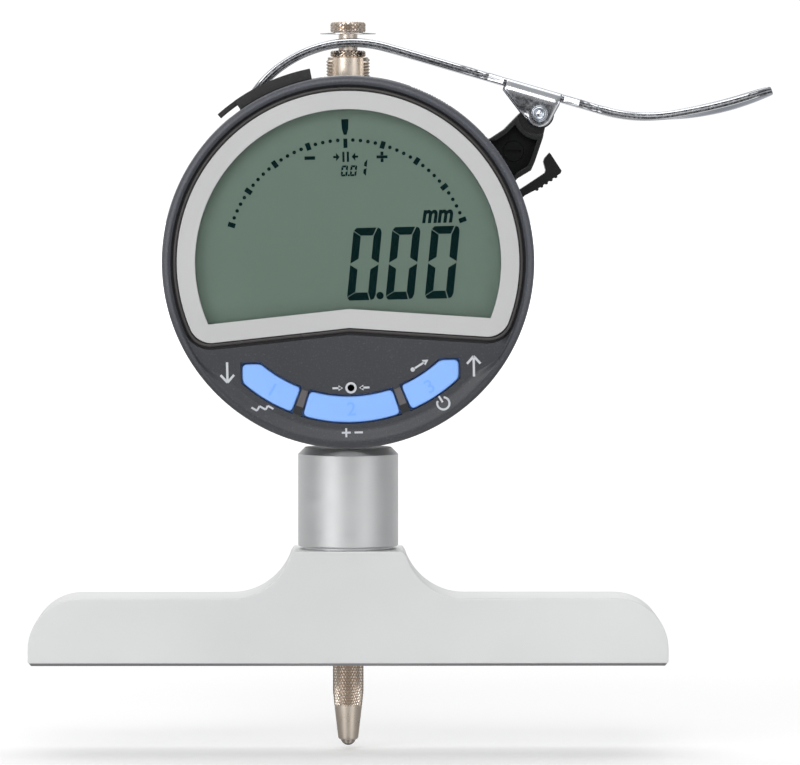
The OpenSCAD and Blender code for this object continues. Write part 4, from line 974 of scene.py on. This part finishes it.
def gripRing(s):
    low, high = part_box("grip_ring")
    outer, front, rear = high[0] / mm, low[1] / mm, high[1] / mm
    bore, c, core = s["bore"], s["chamfer"], outer - s["depth"]
    group = 2 * pi / s["hollows"]

    def outline(a):
        # knurled ground in the hollows, smooth and a little higher between them
        away = abs((a - pi / 2 + group / 2) % group - group / 2)
        r = core if away < radians(s["hollowHalf"]) else outer
        if abs(a - radians(s["capAt"])) < radians(s["capHalf"]):
            r = s["underCap"]
        return [(bore, front), (r - c, front), (r - 0.3 * c, front + 0.3 * c), (r, front + c),
                (r, rear - 0.2), (r - 0.2, rear), (bore, rear)]

    # made upright on the spindle's axis, then laid over on the dial's
    ring = tube("gripBody", outline, "steel", 208)
    step = radians(s["studTurn"])
    knurl = knurlGraph("steel").mesh("gripKnurl", {
        "Groups": s["hollows"] - 1, "Studs": s["studs"], "Rows": s["rows"], "Radius": core * mm,
        "Group Turn": group, "Stud Turn": step,
        "First Turn": radians(90) + 2 * group - step * (s["studs"] - 0.5) / 2,
        "Foot": (front + 0.25) * mm, "Row Rise": s["rowRise"] * mm, "Half Width": core * step / 2 * mm,
        "Half Height": s["rowRise"] * mm, "Depth": s["depth"] * mm, "Taper From": (front + c) * mm,
        "Taper": s["taper"]})
    me = joined("grip", [ring, knurl], 35)
    laidOver(me, lambda x, y, z: onDial(x / mm, y / mm, z / mm))
    place("ring_serrated", me, "display", "bright_ring", "grip_ring")


gripRing(gripSettings)

# the rubber cover fills the bezel's hollow below it
skirtSettings = {"middle": 90 + 360 / 13, "floor": 28.74, "half": 3.25, "outer": 29.3, "steps": 12}


def capSkirt(s):
    low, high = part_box("connector_cap")
    front, rear = low[1] / mm, high[1] / mm
    u = Vector(polar(1, radians(s["middle"])))
    v = Vector((-u[1], u[0]))
    edge = [u * s["floor"] - v * s["half"], u * s["floor"] + v * s["half"]]
    for k in range(s["steps"] + 1):
        side = s["half"] - 2 * s["half"] * k / s["steps"]
        edge.append(u * sqrt(s["outer"] ** 2 - side * side) + v * side)
    loops = [[onDial(a, b, y) for a, b in edge] for y in (front + 0.05, rear)]
    place("cap_skirt", swept("capSkirt", loops, "rubber", False, None), "plug", "cap_rubber")


capSkirt(skirtSettings)
print("shadeSheet, grip ring and cap skirt done")

# the panel sweeps up to the rim below the window, and the rim closes the hollows in front
faceSettings = {"rim": 29.17, "round": 0.92, "rimBack": -17.6, "rimInner": 28.25, "front": -19.0,
                "start": 26.1, "end": 28.2, "span": 57.0, "fade": 11.0, "sunk": 0.3}


def skirtStart(turn, s):
    late = eased((abs(turn) - s["span"] + s["fade"]) / s["fade"])
    return s["start"] + (s["end"] - 0.45 - s["start"]) * late


def skirtFront(x, z, s=faceSettings):
    # how far forward the panel lies, in millimetres
    turn = degrees(atan2(x, -z))
    if abs(turn) > s["span"]:
        return panelY
    start = skirtStart(turn, s)
    return panelY + (s["front"] - panelY) * eased((hypot(x, z) - start) / (s["end"] - start))


def panelSkirt(s, count=76, steps=12):
    columns = []
    for i in range(count + 1):
        turn = -s["span"] + 2 * s["span"] * i / count
        a = radians(turn - 90)
        start = skirtStart(turn, s)
        column = []
        for f in (k / steps for k in range(steps + 1)):
            r = start + (s["end"] - start) * f
            column.append((r, skirtFront(*polar(r, a)) - 0.006 * (1 - f)))
        column += [(s["end"], panelY + s["sunk"]), (start, panelY + s["sunk"])]
        columns.append([onDial(*polar(r, a), y) for r, y in column])
    return swept("panelSkirt", columns, "bezel", False)


def frontRim(s, count=180, steps=8):
    rim, e = s["rim"], s["round"]
    section = [(s["rimInner"], s["rimBack"]), (rim, s["rimBack"])]
    for a in (pi / 2 * k / steps for k in range(steps + 1)):
        section.append((rim - e * (1 - cos(a)), s["front"] + e * (1 - sin(a))))
    angles = [2 * pi * i / count for i in range(count)]
    columns = [[onDial(*polar(r, a), y) for r, y in section] for a in angles]
    return swept("frontRim", columns, "bezel", True)


# a moulding runs round the trim; its rows give how far out and how far forward
trimSettings = {"radius": 26.8, "tip": 10.26, "corner": 3.6, "slope": 5.0,
                "rows": [(0.05, -17.32), (0.05, -17.95), (0.13, -18.12), (0.27, -18.2), (0.43, -18.2),
                         (0.57, -18.12), (0.66, -17.95), (0.66, -17.32)]}


def deeOutline(s, count=120, steps=8):
    # round above, cut off below by two edges that fall away from a tip, the corners rounded
    r, tip, k = s["radius"], s["tip"], tan(radians(s["slope"]))
    x = (sqrt(r * r * (1 + k * k) - tip * tip) - k * tip) / (1 + k * k)
    corner = Vector((x, -tip - k * x))
    inward = Vector((-1, k)).normalized()
    upward = Vector((-corner.y, corner.x)).normalized()
    reach = s["corner"] / tan(upward.angle(inward) / 2)
    start = atan2(corner.y, corner.x) + reach / r
    arc = [Vector(polar(r, start + (pi - 2 * start) * i / count)) for i in range(count + 1)]
    bend = [arc[0] * f ** 2 + corner * 2 * f * (1 - f) + (corner + inward * reach) * (1 - f) ** 2
            for f in (i / steps for i in range(steps))]
    return arc + [Vector((-p.x, p.y)) for p in reversed(bend)] + [Vector((0, -tip))] + bend


def moulding(s):
    loops = [[onDial(p.x, p.y, y) for p in shrunk(deeOutline(s), -d)] for d, y in s["rows"]]
    return swept("moulding", [list(column) for column in zip(*loops)], "moulding", True)


# between two buttons the panel rises to a low crest, with painted light above it and painted shade
# below;
# the crest's rows give radius, half the width and how far forward
webSettings = {"turn": 19.93, "floor": -18.3,
               "crest": [(21.15, 0.50, -18.67), (23.8, 0.57, -18.80), (25.05, 0.62, -18.60)]}


def webs(s):
    meshes = []
    for side in (-1, 1):
        along = Vector(polar(1, radians(270 + side * s["turn"])))
        across = Vector((-along.y, along.x))
        # the upper slope takes the painted light, the lower slope the painted shade
        for kind, ends in (("webPaintedLight", s["crest"][:2]), ("webPaintedShade", s["crest"][1:])):
            columns = []
            for r, w, y in ends:
                left, right = along * r + across * w, along * r - across * w
                columns.append([onDial(*left, s["floor"]), onDial(*left, y), onDial(*right, y),
                                onDial(*right, s["floor"])])
            meshes.append(swept(kind, columns, kind, False, None))
    return joined("webs", meshes)


# flat marks: prints and liquid-crystal signs are thin slabs on their surface
def slabs(name, outlines, level, thick, material):
    # level gives how far forward the surface lies at a place
    verts, faces = [], []
    for line in outlines:
        n, k = len(line), len(verts)
        for deep in (0, thick):
            verts += [onDial(a, b, level(a, b) - deep) for a, b in line]
        faces += [list(range(k, k + n)), list(range(k + 2 * n - 1, k + n - 1, -1))]
        faces += [[k + i, k + (i + 1) % n, k + n + (i + 1) % n, k + n + i] for i in range(n)]
    return meshFrom(name, verts, faces, material)


def disc(x, z, r, count=20):
    return [(x + r * cos(2 * pi * i / count), z + r * sin(2 * pi * i / count))
            for i in range(count)]


def bar(x0, z0, x1, z1, w):
    dx, dz = x1 - x0, z1 - z0
    n = hypot(dx, dz)
    ox, oz = -dz / n * w / 2, dx / n * w / 2
    return [(x0 + ox, z0 + oz), (x0 - ox, z0 - oz), (x1 - ox, z1 - oz), (x1 + ox, z1 + oz)]


def arcBand(x, z, r, w, start, end, count=24):
    angles = [radians(start + (end - start) * i / count) for i in range(count + 1)]
    outer = [(x + (r + w / 2) * cos(a), z + (r + w / 2) * sin(a)) for a in angles]
    inner = [(x + (r - w / 2) * cos(a), z + (r - w / 2) * sin(a)) for a in reversed(angles)]
    return outer + inner


def turned(outlines, x, z, angle):
    c, s = polar(1, radians(angle))
    return [[(x + a * c - b * s, z + a * s + b * c) for a, b in line] for line in outlines]


def digitOutlines(x, z, lit, s):
    # segments named as on a seven-segment digit, a to f from the top round to the left
    w, h, t, g, slant, k, m = s
    lean, hw, hh, q = tan(radians(slant)), w / 2, h / 2, 0.55 * k
    parts = {
        "a": [(-hw + q, hh), (hw - k - g, hh), (hw - t - g, hh - t), (-hw + t, hh - t),
              (-hw + 0.05, hh - q)],
        "b": [(hw - k + g, hh), (hw - 0.3 * k, hh - 0.25 * k), (hw, hh - k), (hw, g), (hw - t, g + m),
              (hw - t, hh - t - g)],
        "c": [(hw, -g), (hw, k - hh), (hw - 0.3 * k, 0.25 * k - hh), (hw - k + g, -hh), (hw - t, t - hh),
              (hw - t, -g - m)],
        "f": [(-hw, g), (-hw + t, g + m), (-hw + t, hh - t - g), (-hw, hh - q - g)]}
    for mirrored, source in (("d", "a"), ("e", "f")):
        parts[mirrored] = [(a, -b) for a, b in parts[source]]
    return [[(x + a + b * lean, z + b) for a, b in parts[key]] for key in lit]


def letters(text, x, z, height, thick, y, kind, shear=0.0, turn=0.0, bold=0.012, narrow=1.0):
    # generic signs from Blender's own typeface, laid on the dial
    font = bpy.data.curves.new("sign", "FONT")
    font.body = text
    font.align_x = "CENTER"
    font.align_y = "CENTER"
    font.size = height / 0.7
    font.shear = shear
    font.offset = bold * height
    font.extrude = thick / 2
    font.resolution_u = 4
    o = linked("sign", font)
    me = bpy.data.meshes.new_from_object(o.evaluated_get(bpy.context.evaluated_depsgraph_get()))
    me.materials.clear()
    me.materials.append(made[kind])
    bpy.data.objects.remove(o)
    c, s = polar(1, radians(turn))
    for v in me.vertices:
        a, b, h = v.co
        a *= narrow
        v.co = onDial(x + a * c - b * s, z + a * s + b * c, y - h)
    me.update()
    return me


# digits give width, height, stroke, gap, slant, corner and point; bars give both ends and the width
lcdSettings = {
    "digit": (4.45, 11.35, 1.22, 0.11, 6.9, 0.8, 0.75), "small": (1.02, 1.7, 0.31, 0.04, 6.9, 0.2, 0.15),
    "one": (0.7, 2.6, 0.45, 0.09, 6.9, 0.1, 0.2),
    "tickR": 19.14, "tickTurn": 3.55, "ticks": 20, "dot": 0.29, "long": 0.58, "broad": 0.74,
    "bars": [(0, 17.9, 0, 19.35, 0.62), (-6.45, 16.43, -4.8, 16.43, 0.54),
             (4.83, 16.37, 6.55, 16.37, 0.45), (5.69, 16.62, 5.69, 17.19, 0.45),
             (5.69, 15.55, 5.69, 16.12, 0.45)],
    "pairedBars": [(1.5, 16.5, 1.95, 16.5, 0.32), (0.35, 15.7, 0.35, 17.3, 0.34)],
    "pairedHead": [(0.95, 16.5), (1.5, 17.15), (1.5, 15.85)],
    "pointer": [(-0.56, 22.4), (0.56, 22.4), (0.5, 20.9), (0.22, 19.95), (-0.22, 19.95), (-0.5, 20.9)],
    "digitsAt": [(2.56, -0.35), (8.62, -0.35), (14.78, -0.35)],
    "smallAt": [(-0.25, 14.3), (1.17, 14.3)],
    "oneAt": (2.9, 14.75), "points": [(0.42, 13.6, 0.17, 10), (4.88, -5.35, 0.58, 20)]}


def lcdMarks(s):
    lines = []
    for side in (-1, 1):
        for i in range(1, s["ticks"] + 1):
            a = radians(90 - side * s["tickTurn"] * i)
            r, h = s["tickR"], s["long"]
            # every fifth tick is a long one
            if i % 5 == 0:
                lines.append(bar(*polar(r - h, a), *polar(r + h, a), s["broad"]))
            else:
                lines.append(disc(*polar(r, a), s["dot"], 12))
        lines.append([(side * a, b) for a, b in s["pairedHead"]])
        lines += [bar(side * x0, z0, side * x1, z1, w) for x0, z0, x1, z1, w in s["pairedBars"]]
    lines += [bar(*b) for b in s["bars"]] + [disc(*p) for p in s["points"]] + [s["pointer"]]
    for x, z in s["smallAt"]:
        lines += digitOutlines(x, z, "abcdef", s["small"])
    lines += digitOutlines(*s["oneAt"], "bc", s["one"])
    for x, z in s["digitsAt"]:
        lines += digitOutlines(x, z, "abcdef", s["digit"])
    return lines


signs = slabs("lcdSigns", lcdMarks(lcdSettings), lambda a, b: glassY - 0.01, 0.02, "ink")
unit = letters("mm", 14.1, 7.15, 2.75, 0.02, glassY - 0.02, "ink", shear=0.2, bold=0.05, narrow=0.8)
place("lcd_signs", joined("lcd", [signs, unit]), "display", "lcd")

# two arrows and small generic signs beside the buttons: where, how far turned, bars, arcs, arrowheads
panelSettings = {
    "arrowX": 19.3, "arrowZ": -16.75, "arrowHigh": 3.1, "arrowHead": 1.05, "line": 0.36,
    "signs": [
        (0.0, -19.65, 0, [(-2.9, 0, -1.55, 0, 0.3), (2.9, 0, 1.55, 0, 0.3)],
         [(0, 0, 0.72, 0.34, 0, 360, 32)], [(-1.25, -1.95, 0.45), (1.25, 1.95, 0.45)]),
        (0.0, -26.75, 0,
         [(-1.6, 0.1, -0.2, 0.1, 0.3), (-0.9, -0.6, -0.9, 0.8, 0.3), (0.4, 0.1, 1.7, 0.1, 0.3)], [], []),
        (-14.1, -22.7, -31,
         [(-1.5, -0.5, -0.5, -0.5, 0.3), (-0.5, -0.5, -0.5, 0.3, 0.3), (-0.5, 0.3, 0.6, 0.3, 0.3),
          (0.6, 0.3, 0.6, 1.0, 0.3), (0.6, 1.0, 1.6, 1.0, 0.3)], [], []),
        (14.4, -22.4, 31, [(0, 0.2, 0, 1.35, 0.32)], [(0, 0, 0.95, 0.32, 125, 415, 28)], []),
        (9.9, -16.9, 31, [(0.2, 0, 2.0, 0, 0.3)], [(-0.2, 0, 0.2, 0.3, 0, 360, 12)], [(2.7, 1.8, 0.5)])]}


def panelMarks(s):
    w, h, head = s["line"], s["arrowHigh"] / 2, s["arrowHead"]
    arrow = [bar(0, -h, 0, h - 0.15, w)]
    arrow += [bar(0, h + 0.08, side * head, h - head - 0.05, w) for side in (-1, 1)]
    lines = turned(arrow, s["arrowX"], s["arrowZ"], 0) + turned(arrow, -s["arrowX"], s["arrowZ"], 180)
    for x, z, turn, bars, arcs, heads in s["signs"]:
        sign = [bar(*b) for b in bars] + [arcBand(*a) for a in arcs]
        sign += [[(tip, 0), (back, half), (back, -half)] for tip, back, half in heads]
        lines += turned(sign, x, z, turn)
    return lines


marks = panelMarks(panelSettings)
printed = slabs("panelSigns", marks, lambda a, b: skirtFront(a, b) - 0.004, 0.016, "print")
place("panel_signs", printed, "display", "bezel_plastic")
print("signs on glass and panel done")

# blue buttons: ring segments with rounded corners and a soft edge, the outer two cut short at their
# far end; each sign has its place and its turn
buttonSettings = {"outer": 25.0, "inner": 21.0, "corner": 0.8, "edge": 0.3, "flange": 0.7,
                  "flangeY": (-16.2, -16.6), "middle": 17.75, "near": 22.1, "side": 16.9, "top": 15.6,
                  "signs": {"left": ("1", -12.35, -19.75, -31), "middle": ("2", 0.0, -23.05, 0),
                            "right": ("3", 12.35, -19.75, 31)}}


def buttonOutline(key, s):
    def arc(r, start, end, count=14):
        return [polar(r, radians(start + (end - start) * i / count - 90)) for i in range(count + 1)]

    if key == "middle":
        return arc(s["outer"], -s["middle"], s["middle"]) + arc(s["inner"], s["middle"], -s["middle"])
    far = degrees(asin(s["side"] / s["outer"]))
    close = 90 - degrees(asin(s["top"] / s["inner"]))
    line = arc(s["outer"], s["near"], far) + [(s["side"], -s["top"])] + arc(s["inner"], close, s["near"])
    return line if key == "right" else [(-x, z) for x, z in reversed(line)]


def filleted(line, reach, steps=5):
    # every real corner becomes a curve that starts this far from it
    out = []
    for i, p in enumerate(line):
        p = Vector(p)
        back, on = Vector(line[i - 1]) - p, Vector(line[(i + 1) % len(line)]) - p
        if back.angle(on) > radians(155):
            out.append(p)
            continue
        a = back.normalized() * min(reach, back.length * 0.9)
        b = on.normalized() * min(reach, on.length * 0.9)
        out += [p + a * (1 - f) ** 2 + b * f ** 2 for f in (k / steps for k in range(steps + 1))]
    return out


def shrunk(line, d):
    # the same outline, moved in by d
    out = []
    for i, p in enumerate(line):
        u, v = (p - line[i - 1]).normalized(), (line[(i + 1) % len(line)] - p).normalized()
        n = Vector((-u.y - v.y, u.x + v.x))
        out.append(p + n.normalized() * d / max(0.5, n.length / 2))
    return out


def button(key, s):
    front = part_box("button_" + key)[0][1] / mm
    line = filleted(buttonOutline(key, s), s["corner"])
    rows = [(-s["flange"], s["flangeY"][0]), (-s["flange"], s["flangeY"][1]), (0, s["flangeY"][1])]
    for a in (pi / 8 * k for k in range(5)):
        rows.append((s["edge"] * (1 - cos(a)), front + s["edge"] * (1 - sin(a))))
    loops = [[onDial(*p, y) for p in shrunk(line, inset)] for inset, y in rows]
    me = swept(key + "_button", loops, "button", False)
    place(key + "_button_formed", me, key + "_key", "button_blue", "button_" + key)


for key in ("left", "middle", "right"):
    button(key, buttonSettings)

for name, me in (("panel_skirt", panelSkirt(faceSettings)), ("front_rim", frontRim(faceSettings)),
                 ("trim_moulding", moulding(trimSettings)), ("button_webs", webs(webSettings))):
    place(name, me, "display", "bezel_plastic")

for key, (sign, x, z, turn) in buttonSettings["signs"].items():
    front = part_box("button_" + key)[0][1] / mm
    me = letters(sign, x, z, 2.1, 0.012, front - 0.006, "buttonMark", turn=turn)
    place(key + "_button_sign", me, key + "_key", "button_blue")
print("buttons, rim, moulding and webs done")


# camera where the photograph was taken from, a white room and soft lights
def aimed(o, spot, direction):
    o.location = spot
    o.rotation_mode = "QUATERNION"
    o.rotation_quaternion = direction.to_track_quat("-Z", "Y")


# softboxes: where, how wide, how high, how bright; all aim at one point of the gauge
lights = {"leftSoftbox": ((-0.62, -0.80, 0.34), 0.55, 0.8, 3.2),
          "rightSoftbox": ((0.72, -0.72, 0.20), 0.5, 0.7, 1.25),
          "frontSoftbox": ((0.0, -0.85, 0.62), 0.5, 0.5, 2.1),
          "overhead": ((0.0, 0.62, 0.95), 1.3, 0.8, 3.2)}
for name, (spot, wide, high, power) in lights.items():
    light = bpy.data.lights.new(name, "AREA")
    light.shape = "RECTANGLE"
    light.size = wide
    light.size_y = high
    light.energy = power
    aimed(linked(name, light), spot, Vector((0.0, 0.0, 0.045)) - Vector(spot))

cameraSettings = {"focalPixels": 6000, "width": 800, "away": 0.957, "height": 0.0802, "left": 51.9,
                  "below": 222.5}


def addCamera(s):
    # left and below: how far the aim lies off the level line, in the photograph's pixels
    camera = bpy.data.cameras.new("camera")
    camera.sensor_width = 36
    camera.lens = s["focalPixels"] / s["width"] * camera.sensor_width
    camera.clip_start = 0.05
    camera.clip_end = 30
    eye = linked("camera", camera)
    yaw, pitch = atan(s["left"] / s["focalPixels"]), atan(s["below"] / s["focalPixels"])
    aim = Vector((sin(yaw) * cos(pitch), cos(yaw) * cos(pitch), -sin(pitch)))
    aimed(eye, (0.0, -s["away"], s["height"]), aim)
    bpy.context.scene.camera = eye


addCamera(cameraSettings)


def paperFinish():
    # whiter with distance, and in reflections dark on the photographer's side
    m = bpy.data.materials.new("paper")
    m.use_nodes = True
    t = m.node_tree
    p = t.nodes["Principled BSDF"]
    where = coordinates(t)
    reach = length(t, where)
    glow = calc(t, "ADD", spread(t, reach, (0.1, 0.18), (1.2, 0.52)),
                spread(t, reach, (1.2, 0.0), (3.2, 0.55)))
    for key, value in (("Base Color", (0.93, 0.93, 0.93, 1)), ("Roughness", 0.9),
                       ("Specular IOR Level", 0.0), ("Emission Color", (1, 1, 1, 1)),
                       ("Emission Strength", glow)):
        feed(t, p.inputs[key], value)
    # pools of light to the left and right of the photographer
    x, y = [split(t, where)[key] for key in "XY"]
    aside = calc(t, "ABSOLUTE", calc(t, "DIVIDE", x, y))
    pool = calc(t, "MULTIPLY", spread(t, aside, (0.22, 0.35), (0.5, 0.95)),
                spread(t, aside, (1.0, 1.0), (1.5, 0.35)))
    behind = spread(t, y, (-0.05, 0.22), (0.8, 0.95))
    strength = addNode(t, "ShaderNodeMix", spread(t, y, (-0.01, 1.0), (0.01, 0.0)), None, behind, pool)
    shine = addNode(t, "ShaderNodeEmission", Color=(1, 1, 1, 1), Strength=strength.outputs[0])
    glossy = t.nodes.new("ShaderNodeLightPath").outputs["Is Glossy Ray"]
    mixedSurface(t, "Material Output", glossy, p, shine)
    return m


floorZ = cadLow[2] - 0.0006
floorMesh = bpy.data.meshes.new("floor")
corners = [(x, y, floorZ) for x, y in ((-8, -8), (8, -8), (8, 8), (-8, 8))]
floorMesh.from_pydata(corners, [], [(0, 1, 2, 3)])
floorMesh.materials.append(paperFinish())
linked("floor", floorMesh)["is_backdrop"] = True


def whiteRoom():
    # bright behind the part and overhead, darker where the photographer stands
    world = bpy.data.worlds.new("room")
    bpy.context.scene.world = world
    world.use_nodes = True
    t = world.node_tree
    room = t.nodes["Background"]
    x, y, z = [split(t, coordinates(t, "Generated"))[key] for key in "XYZ"]
    both = calc(t, "ADD", spread(t, y, (0.0, 0.32), (0.45, 0.74)),
                spread(t, z, (0.35, 0.0), (0.85, 0.22)))
    shaded = calc(t, "MULTIPLY", both, spread(t, x, (0.1, 1.0), (0.8, 0.65)))
    feed(t, room.inputs["Strength"], shaded)
    feed(t, room.inputs["Color"], (1, 1, 1, 1))
    white = addNode(t, "ShaderNodeBackground", Color=(1, 1, 1, 1), Strength=1.05)
    seen = t.nodes.new("ShaderNodeLightPath").outputs["Is Camera Ray"]
    mixedSurface(t, "World Output", seen, room, white)


whiteRoom()
bpy.context.scene.view_settings.view_transform = "Standard"
print("camera, lights and room done")

low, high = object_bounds()
{"cad": [list(cadLow), list(cadHigh)], "visual": [list(low), list(high)]}
